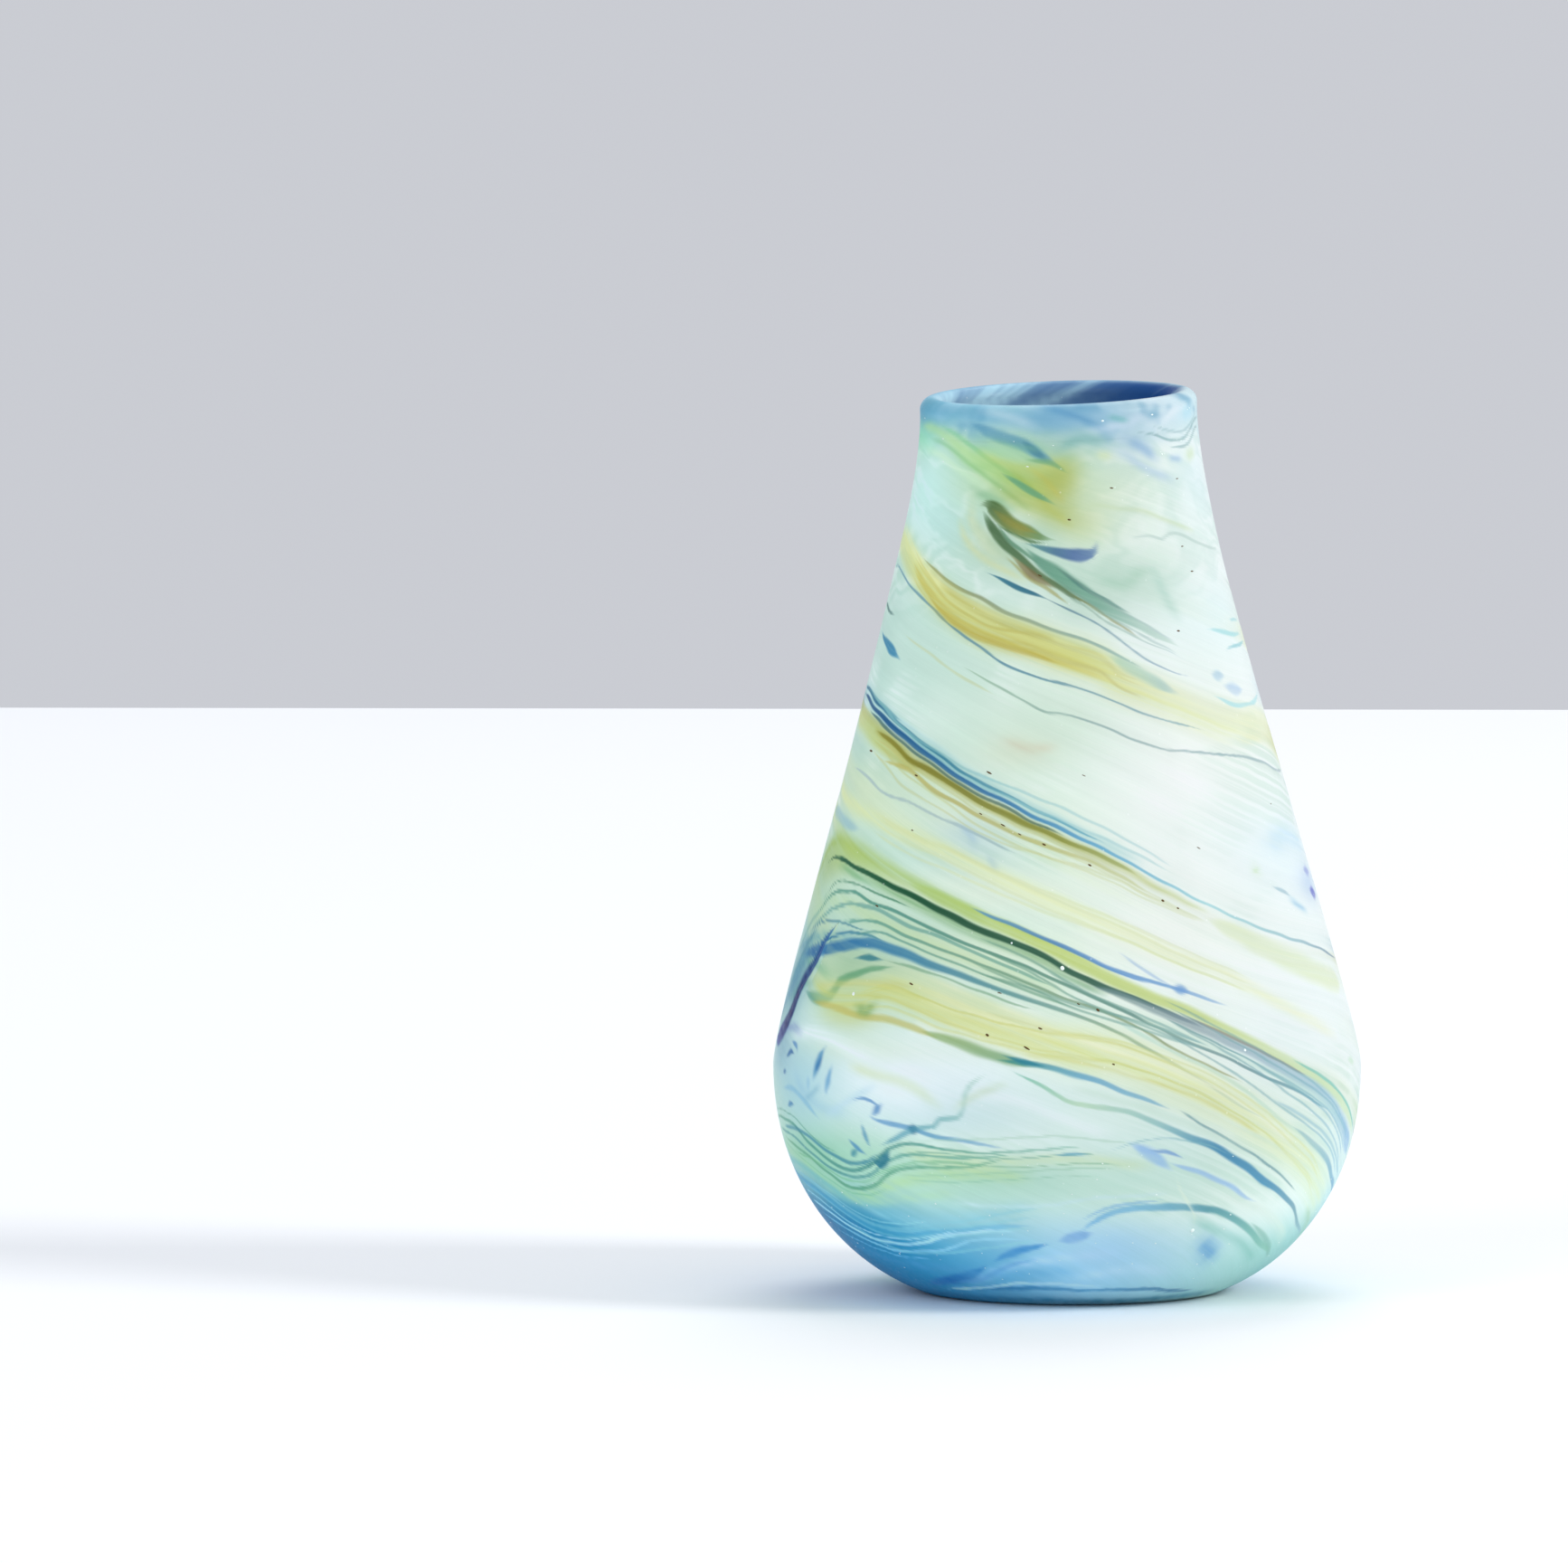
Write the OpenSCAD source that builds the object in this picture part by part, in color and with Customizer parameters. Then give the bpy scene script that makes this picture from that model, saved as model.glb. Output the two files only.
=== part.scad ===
// Hand blown vase of marbled, satin finished glass.
// Millimetres. The origin is the centre of the base, +Z is up and the front faces -Y.
// The glass is built as it is blown: an inner gather, trails of coloured glass that wind
// round it side by side, a ground foot pad under it and the patch left by the iron.
// The trails replace the outer skin of the wall, so the outside stays smooth.

/* [Outline] */
// Height from the table to the top of the lip
vase_h = 200; // [160:5:240]
// Outside radius at the widest part of the belly
belly_r = 65; // [52:1:78]
// Height of the widest part of the belly
belly_z = 50; // [42:1:60]
// Outside radius of the lip
lip_r = 30.7; // [25:0.1:38]
// Outside radius of the ground edge under the foot
foot_r = 32.5; // [26:0.5:39]
// How far the foot curve reaches outward before it turns up
foot_spread = 18; // [12:1:22]
// How far the foot curve rises over that reach
foot_rise = 6.5; // [4:0.5:10]
// Length of curve that leads up into the widest part
belly_low_run = 26; // [20:1:30]
// Length of curve that leads away above the widest part
belly_high_run = 13; // [8:1:25]
// How far the neck draws in below the lip radius
neck_draw = 3.4; // [0:0.2:6]
// Height over which the neck turns into the lip
neck_run = 26; // [16:1:40]

/* [Walls] */
// Whole wall at the belly
belly_wall = 4.6; // [3.5:0.1:7]
// Whole wall at the neck and lip
neck_wall = 5.4; // [3.5:0.1:7]
// Thickness of the gather's floor above the foot pad
floor_t = 7; // [4:0.5:10]
// Radius of the flat middle of the floor
floor_flat_r = 18; // [10:1:24]
// How far inside the belly wall the floor starts to turn up
floor_turn = 12.4; // [8:0.2:18]
// Height of the solid lip above the end of the trails
lip_h = 8; // [5:0.5:14]

/* [Foot] */
// Thickness of the foot pad
foot_t = 4; // [3:0.25:6]
// Radius of the hollow under the foot
punt_r = 22; // [16:0.5:24]
// Depth of the hollow under the foot
punt_h = 2; // [1.5:0.1:2.5]
// Run of the sloping side of that hollow
punt_slope = 2; // [1:0.5:4]
// Radius of the pontil patch
pontil_r = 9; // [6:0.5:12]
// Thickness of the pontil patch
pontil_t = 1; // [0.5:0.1:1.2]

/* [Trails] */
// Depth of the coloured trails in the wall
trail_depth = 1.8; // [1.2:0.1:2.4]
// Room for the fused joint between two glasses
fuse_gap = 0.02; // [0.02:0.01:0.06]
// Turn of the swirl from the base to the lip, in degrees
swirl_turn = 650; // [400:10:800]
// How much faster the narrow neck turned than the belly
swirl_bias = 0.42; // [0:0.02:0.6]
// Angle round the vase where the amber trail would start at the base
swirl_start = 36; // [0:1:360]
// Width of the amber trail, in degrees round the vase
amber_w = 30; // [10:1:40]
// Width of the white opal field
opal_w = 58; // [30:1:70]
// Width of the yellow trail
yellow_w = 27; // [10:1:35]
// Width of the field of fine teal lines
teal_fan_w = 30; // [10:1:40]
// Width of the green trail
green_w = 12; // [6:1:20]
// Width of the cream field
cream_w = 59; // [30:1:70]
// Width of the straw trail
straw_w = 15; // [8:1:20]
// Width of the olive trail
olive_w = 8; // [5:1:14]
// Width of the cobalt trail
cobalt_w = 8; // [5:1:14]

/* [Surface trails] */
// Thickness of the two short trails that lie on the outside
thread_t = 0.3; // [0.2:0.05:0.6]
// Width of the hook shaped trail
hook_w = 2.2; // [1:0.1:2.6]
// Width of the dark drip
drip_w = 2.4; // [1:0.1:3]

/* [Hidden] */

floor_z = foot_t + floor_t;
trail_top_z = vase_h - lip_h;
lip_round = neck_wall / 2;
lip_mid_z = vase_h - lip_round;
belly_bore_r = belly_r - belly_wall;
lip_bore_r = lip_r - neck_wall;

// The mint field takes what the other trails leave of the full turn.
mint_w = 360 - amber_w - opal_w - yellow_w - teal_fan_w - green_w - cream_w
    - straw_w - olive_w - cobalt_w;
widths = [amber_w, opal_w, yellow_w, teal_fan_w, green_w, cream_w, straw_w,
    olive_w, cobalt_w, mint_w];

function running_sum(list, n) = n == 0 ? 0 : list[n - 1] + running_sum(list, n - 1);
function trail_start(k) = swirl_start + running_sum(widths, k);

// Fineness of the trails: usual turn along one facet, and rows of facets
facet_turn = 10;
rows_n = ceil(swirl_turn / facet_turn);
row_h = (trail_top_z - foot_t) / rows_n;
levels = [for (i = [0 : rows_n]) foot_t + i * row_h];

// Outline curves, each a cubic curve of four [radius, height] points
low_curve = [
    [foot_r, 0],
    [foot_r + foot_spread, foot_rise],
    [belly_r, belly_z - belly_low_run],
    [belly_r, belly_z]
];
high_curve = [
    [belly_r, belly_z],
    [belly_r, belly_z + belly_high_run],
    [lip_r - neck_draw, vase_h - neck_run],
    [lip_r, vase_h]
];
bore_low_curve = [
    [floor_flat_r, floor_z],
    [belly_bore_r - floor_turn, floor_z],
    [belly_bore_r, belly_z - belly_low_run],
    [belly_bore_r, belly_z]
];
bore_high_curve = [
    [belly_bore_r, belly_z],
    [belly_bore_r, belly_z + belly_high_run],
    [lip_bore_r - neck_draw, vase_h - neck_run],
    [lip_bore_r, vase_h]
];

function curve_point(c, t) =
    pow(1 - t, 3) * c[0] + 3 * pow(1 - t, 2) * t * c[1]
    + 3 * (1 - t) * t * t * c[2] + pow(t, 3) * c[3];

// Place on a rising curve where it reaches height z, by halving
function curve_t(c, z, lo = 0, hi = 1, n = 24) =
    n == 0 ? (lo + hi) / 2
    : curve_point(c, (lo + hi) / 2)[1] < z ? curve_t(c, z, (lo + hi) / 2, hi, n - 1)
    : curve_t(c, z, lo, (lo + hi) / 2, n - 1);
function curve_r(c, z) = curve_point(c, curve_t(c, z))[0];

// Outside radius of the vase, and radius of the bore above the belly
function body_r(z) = z < belly_z ? curve_r(low_curve, z) : curve_r(high_curve, z);
function neck_bore_r(z) = curve_r(bore_high_curve, z);

// Outside of the gather under the trails
function gather_r(z) = body_r(z) - trail_depth;

// Turn of the swirl at height z: slow at the belly and faster at the neck
function swirl(z) =
    swirl_turn * ((1 - swirl_bias) * z / vase_h + swirl_bias * pow(z / vase_h, 2));

// Flat facets sag inward between their corners, so the inside corners stand out
// by the sag and the middle of each facet just clears the gather.
function longest_turn(z) = max(facet_turn, swirl(z + row_h) - swirl(z));
function trail_inner_r(z) = (gather_r(z) + fuse_gap) / cos(longest_turn(z) / 2);

// Point on the outside: angle from the front (-Y) towards +X, radius and height
function round_point(a, r, z) = [r * sin(a), -r * cos(a), z];

// One coloured trail: a helical strip of the wall's outer skin, from the foot pad
// to the lip. k is its place in widths.
module trail_strip(k) {
    cols = ceil(widths[k] / facet_turn);
    row_n = 2 * (cols + 1);
    step = widths[k] / cols;
    points = [for (z = levels) each [
        for (j = [0 : cols]) edge_point(k, j * step, body_r(z), z),
        for (j = [0 : cols]) edge_point(k, j * step, trail_inner_r(z), z)
    ]];
    faces = [
        for (i = [0 : rows_n - 1], j = [0 : cols - 1]) each skin_faces(i, j, cols, row_n),
        for (i = [0 : rows_n - 1]) each side_faces(i, cols, row_n),
        for (j = [0 : cols - 1]) each end_faces(j, cols, row_n)
    ];
    polyhedron(points, faces, convexity = 6);
}

// Angle measured across the strip, kept clear of both neighbours by half the gap
function edge_point(k, across, r, z) =
    let (clear = asin(fuse_gap / 2 / r),
        inset = across <= 0 ? clear : across >= widths[k] ? -clear : 0)
    round_point(trail_start(k) + across + inset - swirl(z), r, z);

function skin_faces(i, j, cols, row_n) =
    let (a = i * row_n + j, b = a + 1, d = a + row_n, c = d + 1,
        n = cols + 1)
    [[a, c, b], [a, d, c], [a + n, b + n, c + n], [a + n, c + n, d + n]];

function side_faces(i, cols, row_n) =
    let (a = i * row_n, n = cols + 1, d = a + row_n,
        e = a + cols, h = e + row_n)
    [[a, a + n, d + n], [a, d + n, d], [e, h + n, e + n], [e, h, h + n]];

function end_faces(j, cols, row_n) =
    let (n = cols + 1, top = rows_n * row_n + j)
    [[j, j + 1, j + 1 + n], [j, j + 1 + n, j + n],
        [top, top + 1 + n, top + 1], [top, top + n, top + 1 + n]];

// Middle line of the hook shaped trail and of the drip: [angle from the front, height]
hook_path = [[14, 165.5], [7, 164.5], [-4, 167.5], [-15, 170.5], [-25, 174.3], [-32, 175],
    [-31.5, 172], [-23, 168], [-13, 163], [-3, 158], [8, 153], [19, 149], [31, 146]];
drip_path = [[-81, 56.5], [-76, 58.5], [-74, 62], [-72, 66], [-68, 70.5], [-65, 75],
    [-61, 79], [-57, 81]];

// Smooth curve through a path's points, a few stations between each two
stations_n = 4;
function smooth_path(p) = [
    for (i = [0 : len(p) - 2], s = [0 : stations_n - 1])
        path_point(p, i, s / stations_n),
    p[len(p) - 1]
];
function path_point(p, i, t) =
    let (a = p[max(i - 1, 0)], b = p[i], c = p[i + 1], d = p[min(i + 2, len(p) - 1)])
    b + 0.5 * t * (c - a + t * (2 * a - 5 * b + 4 * c - d
        + t * (3 * (b - c) + d - a)));

// A thin trail laid on the outside along a path, tapered to both ends
module surface_trail(path, width) {
    line = [for (p = smooth_path(path)) [p[0], p[1] * vase_h / drawn_h]];
    last = len(line) - 1;
    points = [for (i = [0 : last])
        let (side = trail_side(line, i, last),
            half = width / 2 * (0.25 + 0.75 * sin(180 * (i + 0.5) / (last + 1))))
        each [for (s = [[-1, 0], [1, 0], [0.6, 1], [-0.6, 1]])
            skin_point(line[i], side * half * s[0], fuse_gap + thread_t * s[1])]
    ];
    faces = [
        [0, 1, 2, 3],
        for (i = [0 : last - 1], k = [0 : 3]) each
            let (a = 4 * i + k, b = 4 * i + (k + 1) % 4)
            [[a, a + 4, b + 4], [a, b + 4, b]],
        [4 * last + 3, 4 * last + 2, 4 * last + 1, 4 * last]
    ];
    polyhedron(points, faces, convexity = 6);
}

// Height of vase that the two paths are drawn for
drawn_h = 200;

// Direction across the trail at station i, as [arc length, height] of length 1
function trail_side(line, i, last) =
    let (a = line[max(i - 1, 0)], b = line[min(i + 1, last)],
        arc = (b[0] - a[0]) * PI / 180 * body_r(line[i][1]),
        rise = b[1] - a[1], n = norm([arc, rise]))
    [-rise / n, arc / n];

function skin_point(p, off, out) =
    let (z = p[1] + off[1], r = body_r(z))
    round_point(p[0] + off[0] * 180 / PI / r, r + out, z);

module inner_gather() {
    outside = [for (z = levels) [gather_r(z), z]];
    lip_step = (lip_mid_z - trail_top_z) / 3;
    lip_side = [for (i = [0 : 3])
        let (z = trail_top_z + i * lip_step)
        [body_r(z), z]];
    lip_arc = [for (a = [15 : 15 : 165])
        [body_r(lip_mid_z) - lip_round + lip_round * cos(a), lip_mid_z + lip_round * sin(a)]];
    neck_steps = 40;
    neck_bore = [for (i = [neck_steps : -1 : 1])
        let (z = belly_z + i * (lip_mid_z - belly_z) / neck_steps)
        [neck_bore_r(z), z]];
    floor_steps = 24;
    floor_bore = [for (i = [floor_steps : -1 : 0])
        curve_point(bore_low_curve, i / floor_steps)];
    color([0.36, 0.62, 0.78, 0.6])
        rotate_extrude($fn = 96)
            polygon(concat([[0, foot_t]], outside, lip_side, lip_arc, neck_bore,
                floor_bore, [[0, floor_z]]));
}

module amber_ribbon() {
    color([0.80, 0.70, 0.36])
        trail_strip(0);
}

module opal_ribbon() {
    color([0.93, 0.98, 0.97])
        trail_strip(1);
}

module yellow_ribbon() {
    color([0.86, 0.87, 0.58])
        trail_strip(2);
}

module teal_fan_ribbon() {
    color([0.55, 0.75, 0.68])
        trail_strip(3);
}

module green_ribbon() {
    color([0.45, 0.60, 0.36])
        trail_strip(4);
}

module cream_ribbon() {
    color([0.92, 0.95, 0.86])
        trail_strip(5);
}

module straw_ribbon() {
    color([0.86, 0.85, 0.62])
        trail_strip(6);
}

module olive_ribbon() {
    color([0.58, 0.56, 0.26])
        trail_strip(7);
}

module cobalt_ribbon() {
    color([0.16, 0.38, 0.62])
        trail_strip(8);
}

module mint_ribbon() {
    color([0.82, 0.94, 0.89])
        trail_strip(9);
}

module hook_swirl() {
    color([0.24, 0.40, 0.40])
        surface_trail(hook_path, hook_w);
}

module cobalt_drip() {
    color([0.14, 0.18, 0.50])
        surface_trail(drip_path, drip_w);
}

module foot_pad() {
    edge_steps = 6;
    edge = [for (i = [0 : edge_steps])
        let (z = i * foot_t / edge_steps)
        [body_r(z), z]];
    color([0.32, 0.62, 0.80, 0.6])
        rotate_extrude($fn = 96)
            polygon(concat([[punt_r, 0]], edge, [[0, foot_t], [0, punt_h],
                [punt_r - punt_slope, punt_h]]));
}

module pontil_patch() {
    low_z = punt_h - pontil_t;
    edge_r = pontil_t / 2;
    color([0.28, 0.56, 0.74, 0.6])
        rotate_extrude($fn = 96)
            polygon([[0, low_z], [pontil_r - edge_r, low_z], [pontil_r, low_z + edge_r],
                [pontil_r, punt_h], [0, punt_h]]);
}

inner_gather();
amber_ribbon();
opal_ribbon();
yellow_ribbon();
teal_fan_ribbon();
green_ribbon();
cream_ribbon();
straw_ribbon();
olive_ribbon();
cobalt_ribbon();
mint_ribbon();
hook_swirl();
cobalt_drip();
foot_pad();
pontil_patch();
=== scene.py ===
"""Looks of a hand blown vase whose colour trails swirl round a satin gather.

All shape functions work in millimetres and degrees. Angle 0 is the front (-Y) and grows
towards +X. Meshes are handed to Blender in metres.
"""
import math

import bpy
import numpy as np
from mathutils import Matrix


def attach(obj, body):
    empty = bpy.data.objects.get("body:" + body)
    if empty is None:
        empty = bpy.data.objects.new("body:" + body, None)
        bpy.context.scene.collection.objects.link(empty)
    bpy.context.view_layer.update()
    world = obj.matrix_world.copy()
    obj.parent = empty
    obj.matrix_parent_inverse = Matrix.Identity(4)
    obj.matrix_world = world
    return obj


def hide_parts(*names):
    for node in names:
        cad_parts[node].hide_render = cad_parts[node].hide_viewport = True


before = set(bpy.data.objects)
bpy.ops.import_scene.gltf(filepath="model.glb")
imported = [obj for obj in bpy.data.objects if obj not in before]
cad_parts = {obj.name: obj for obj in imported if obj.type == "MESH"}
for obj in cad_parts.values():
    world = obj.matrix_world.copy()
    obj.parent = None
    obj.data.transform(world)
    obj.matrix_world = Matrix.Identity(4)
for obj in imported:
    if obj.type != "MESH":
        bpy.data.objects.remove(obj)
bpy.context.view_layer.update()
MM = 0.001

# ---------------------------------------------------------------- sizes, as in the CAD part
VASE_H, FOOT_T, FLOOR_T, LIP_H = 200.0, 4.0, 7.0, 8.0
TRAIL_TOP = VASE_H - LIP_H
FLOOR_TOP = FOOT_T + FLOOR_T
TRAIL_DEPTH, FUSE_GAP = 1.8, 0.02
SWIRL_TURN, SWIRL_BIAS, SWIRL_START = 650.0, 0.42, 36.0
NECK_WALL = 5.4
PUNT_R, PUNT_H, PUNT_SLOPE, PONTIL_R, PONTIL_T = 22.0, 2.0, 2.0, 9.0, 1.0
BORE_FLOOR_R = 18.0

# Outer wall and bore, each as two cubic curves of (radius, height) joined at the belly
LOW = [(32.5, 0), (50.5, 6.5), (65, 24), (65, 50)]
HIGH = [(65, 50), (65, 63), (27.3, 174), (30.7, 200)]
BORE_LOW = [(BORE_FLOOR_R, FLOOR_TOP), (48, FLOOR_TOP), (60.4, 24), (60.4, 50)]
BORE_HIGH = [(60.4, 50), (60.4, 63), (21.9, 174), (25.3, 200)]

# Trails in their order round the vase: name, width in degrees of swirl, slot
RIBBONS = [("amber_ribbon", 30, "amber_glass"), ("opal_ribbon", 58, "opal_glass"),
           ("yellow_ribbon", 27, "yellow_glass"), ("teal_fan_ribbon", 30, "teal_line_glass"),
           ("green_ribbon", 12, "green_glass"), ("cream_ribbon", 59, "cream_glass"),
           ("straw_ribbon", 15, "straw_glass"), ("olive_ribbon", 8, "olive_glass"),
           ("cobalt_ribbon", 8, "cobalt_glass"), ("mint_ribbon", 113, "mint_glass")]

# Spacing of the wall's points: about as wide as the finest painted line
COLUMN_DEG = 0.5
ROW_MM = 0.36


def bezier(points, n=400):
    t = np.linspace(0, 1, n)[:, None]
    p = np.array(points, float)
    return (p[0] * (1 - t) ** 3 + 3 * p[1] * t * (1 - t) ** 2
            + 3 * p[2] * t ** 2 * (1 - t) + p[3] * t ** 3)


def outline(low, high):
    """Radius and height along two curves joined at the belly."""
    both = np.vstack([bezier(low), bezier(high)[1:]])
    return both[:, 0], both[:, 1]


OUT_R, OUT_Z = outline(LOW, HIGH)
BORE_R, BORE_Z = outline(BORE_LOW, BORE_HIGH)


def out_radius(z):
    return np.interp(z, OUT_Z, OUT_R)


def smooth(lo, hi, x):
    t = np.clip((np.asarray(x, float) - lo) / (hi - lo), 0, 1)
    return t * t * (3 - 2 * t)


# ---------------------------------------------------------------- paint
# Colours are written as they look on the vase, in 0 to 255, and strokes as (angle, height)
# points on its wall.
BLUE, SKY, COBALT = (52, 122, 178), (150, 190, 234), (38, 84, 132)
TEAL, SEA, DEEP = (66, 136, 148), (118, 170, 160), (38, 88, 62)
OLIVE, AMBER = (146, 142, 58), (188, 178, 80)
SMOKE, LIME, GREY = (142, 160, 172), (184, 224, 140), (150, 172, 172)
BRIGHTEST = 253


def wobble(x, y, seed):
    """A smooth field between about -1 and 1, made of a few crossing waves."""
    rng = np.random.RandomState(seed)
    total = np.zeros_like(x)
    for octave in range(4):
        freq = 1.9 ** octave
        for _ in range(3):
            turn = rng.uniform(0, 2 * math.pi)
            phase = rng.uniform(0, 2 * math.pi)
            across = x * math.cos(turn) + y * math.sin(turn)
            total += np.sin(freq * across + phase) / 1.7 ** octave
    return total / 3.6


def path_of(points, step=2.0):
    """A smooth (Catmull-Rom) path through given points, about one point per step mm."""
    p = np.array(points, float)
    if len(p) < 3:
        return p[0] + (p[1] - p[0]) * np.linspace(0, 1, 6)[:, None]
    q = np.vstack([2 * p[0] - p[1], p, 2 * p[-1] - p[-2]])
    out = []
    for a, b, c, d in zip(q[:-3], q[1:-2], q[2:-1], q[3:]):
        span = math.hypot((c[0] - b[0]) * 0.8, c[1] - b[1])
        t = np.linspace(0, 1, max(2, int(span / step) + 1), endpoint=False)[:, None]
        out.append(0.5 * (2 * b + (c - a) * t + (2 * a - 5 * b + 4 * c - d) * t ** 2
                          + (3 * b - a - 3 * c + d) * t ** 3))
    out.append(p[-1:])
    return np.vstack(out)


def read_colours(at, stops, colours):
    """Colours that are given at some stops, read at each place between them."""
    channels = np.atleast_2d(np.array(colours, float)).T
    return np.stack([np.interp(at, stops, channel) for channel in channels], axis=1)


# Where the streaks are left out: strength, then middle and spread in degrees and in mm
CALM = [(1.2, -6, 34, 168, 13), (1.1, -48, 34, 46, 11)]


class Paint:
    """Colours for a set of wall points, built up stroke by stroke."""

    def __init__(self, phi, z, w):
        self.phi, self.z, self.w = phi, z, w
        self.r = out_radius(np.clip(z, 0, VASE_H))
        x = np.radians(phi) * self.r
        calm = smooth(174, 184, z)
        for strength, mid, wide, level, tall in CALM:
            calm = calm + strength * np.exp(-((phi - mid) / wide) ** 2 - ((z - level) / tall) ** 2)
        comb = 1 - 0.95 * np.clip(calm, 0, 1)
        self.jx = x + 0.5 * wobble(x / 7, z / 7, 3)
        self.jz = z + 0.35 * wobble(x / 6, z / 5, 5) + 0.12 * comb * wobble(w * 1.2, z / 7, 15)
        self.streak = comb * wobble(w / 2.6, z / 16, 8)
        self.fibre = comb * wobble(w * 0.9 + 1.5 * wobble(x / 9, z / 9, 10), z / 12, 9)
        self.cloud = wobble(x / 16, z / 11, 13)
        self.rgb = np.zeros((len(phi), 3))

    def lay(self, mask, colour, where=slice(None)):
        """Covers the points at where with one colour, or with one for each point."""
        m = np.clip(mask, 0, 1)[:, None]
        self.rgb[where] = self.rgb[where] * (1 - m) + np.array(colour, float) * m

    def near(self, path, reach):
        """Numbers of the points in the box round a path."""
        left, low = path.min(axis=0)
        right, high = path.max(axis=0)
        return np.flatnonzero((self.phi > left - reach * 1.6) & (self.phi < right + reach * 1.6)
                              & (self.z > low - reach) & (self.z < high + reach))

    def measure(self, path, inside, reach):
        """Distance of each point from a path, and how far along it (0 to 1) it lies."""
        a, b = path[:-1], path[1:]
        ra = out_radius(a[:, 1])
        ax, bx = np.radians(a[:, 0]) * ra, np.radians(b[:, 0]) * ra
        dx, dz = bx - ax, b[:, 1] - a[:, 1]
        length = np.hypot(dx, dz) + 1e-9
        start = np.concatenate([[0], np.cumsum(length)[:-1]])
        whole = start[-1] + length[-1]
        best = np.full(len(inside), 1e9)
        pos = np.zeros(len(inside))
        x, z, r = self.jx[inside], self.jz[inside], self.r[inside]
        for k in range(len(a)):
            close = np.flatnonzero(np.abs(z - (a[k, 1] + b[k, 1]) / 2) < abs(dz[k]) / 2 + reach)
            px = x[close] / r[close] * ra[k] - ax[k]
            pz = z[close] - a[k, 1]
            t = np.clip((px * dx[k] + pz * dz[k]) / length[k] ** 2, 0, 1)
            d = np.hypot(px - t * dx[k], pz - t * dz[k])
            closer = d < best[close]
            hit = close[closer]
            best[hit] = d[closer]
            pos[hit] = (start[k] + t[closer] * length[k]) / whole
        return best, pos, whole

    def stroke(self, points, width, colours, strength, soft):
        """A line of the given half widths; soft from about 0.35, crisp, to 0.9, a haze."""
        path = path_of(points)
        widths = np.atleast_1d(np.array(width, float))
        reach = widths.max() * (1 + max(soft, 0.9)) + 0.9
        inside = self.near(path, reach)
        if len(inside) == 0:
            return
        best, pos, whole = self.measure(path, inside, reach)
        taper = min(0.5, max(0.08, 7.0 / whole))
        half = np.interp(pos, np.linspace(0, 1, len(widths)), widths)
        end = np.minimum(pos, 1 - pos)
        if soft >= 0.75:
            mask = np.exp(-(best / (half * 0.9)) ** 2) * smooth(0, taper, end + taper * 0.4)
            mask *= 0.95 + 0.3 * self.fibre[inside]
        else:
            half = half * (0.15 + 0.85 * smooth(0, taper, end) ** 0.6)
            edge = half * soft * 0.8 + 0.06
            mask = 1 - smooth(0, 1, (best - half + edge) / (2 * edge))
            mask *= smooth(0, taper * 0.7, end + taper * 0.15)
            mask *= 0.95 + 0.14 * self.fibre[inside] * smooth(0.5, 1.4, half)
        mask *= strength * (0.9 + 0.14 * self.streak[inside])
        keep = mask > 0.002
        stops = np.linspace(0, 1, len(np.atleast_2d(colours)))
        self.lay(mask[keep], read_colours(pos[keep], stops, colours), inside[keep])

    def blob(self, phi, z, wide, high, colour, strength=0.6):
        """A soft cloud: wide in degrees, high in mm."""
        d = np.hypot((self.phi - phi) / wide, (self.z - z) / high)
        mask = strength * np.exp(-d ** 2) * np.clip(1 + 0.35 * self.cloud, 0, 1.4)
        where = np.flatnonzero(mask > 0.003)
        self.lay(mask[where], colour, where)


# Broad colour of each trail, all round the vase: middle and half width in degrees of
# swirl, softness, colour, strength, lowest and highest height.
BANDS = [
    (51, 14, 5, (228, 234, 178), 0.75, 66, 172), (50, 8, 5, (202, 196, 102), 0.75, 68, 170),
    (95, 20, 9, (240, 250, 248), 0.6, 24, 160), (137, 12, 4, (222, 225, 152), 0.85, 24, 152),
    (166, 14, 4, (214, 234, 210), 0.7, 26, 152), (189, 5, 3, (190, 206, 118), 0.75, 26, 152),
    (226, 7, 5, (230, 236, 184), 0.6, 26, 152), (259, 8, 4, (224, 232, 180), 0.6, 26, 156),
    (270, 3.6, 2, (156, 150, 68), 0.8, 26, 160), (280, 4, 3, (150, 196, 200), 0.55, 24, 168),
]

# Fine lines that run the whole way round behind: swirl angle, half width, colour, strength.
BACK_LINES = [
    (58.5, 0.7, OLIVE, 0.5), (64, 0.35, GREY, 0.6), (86, 0.5, SKY, 0.4), (104, 0.4, SEA, 0.45),
    (120, 0.6, BLUE, 0.5), (152, 0.5, TEAL, 0.6), (156, 0.35, SEA, 0.7), (160, 0.5, TEAL, 0.65),
    (164.5, 0.4, SEA, 0.7), (169, 0.35, TEAL, 0.7), (173, 0.5, SEA, 0.7), (177, 0.4, TEAL, 0.7),
    (183.5, 1.5, DEEP, 0.8), (195, 0.4, BLUE, 0.6), (212, 0.4, GREY, 0.4), (240, 0.4, GREY, 0.4),
    (263, 0.5, AMBER, 0.6), (275.5, 0.7, COBALT, 0.85), (278.5, 0.5, COBALT, 0.8),
    (281.5, 0.5, (70, 130, 150), 0.7), (300, 0.35, GREY, 0.45), (322, 0.4, GREY, 0.5),
    (341, 0.5, SMOKE, 0.6), (352, 0.35, GREY, 0.5), (372, 0.4, SMOKE, 0.5), (388, 0.6, SEA, 0.4),
]

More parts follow.
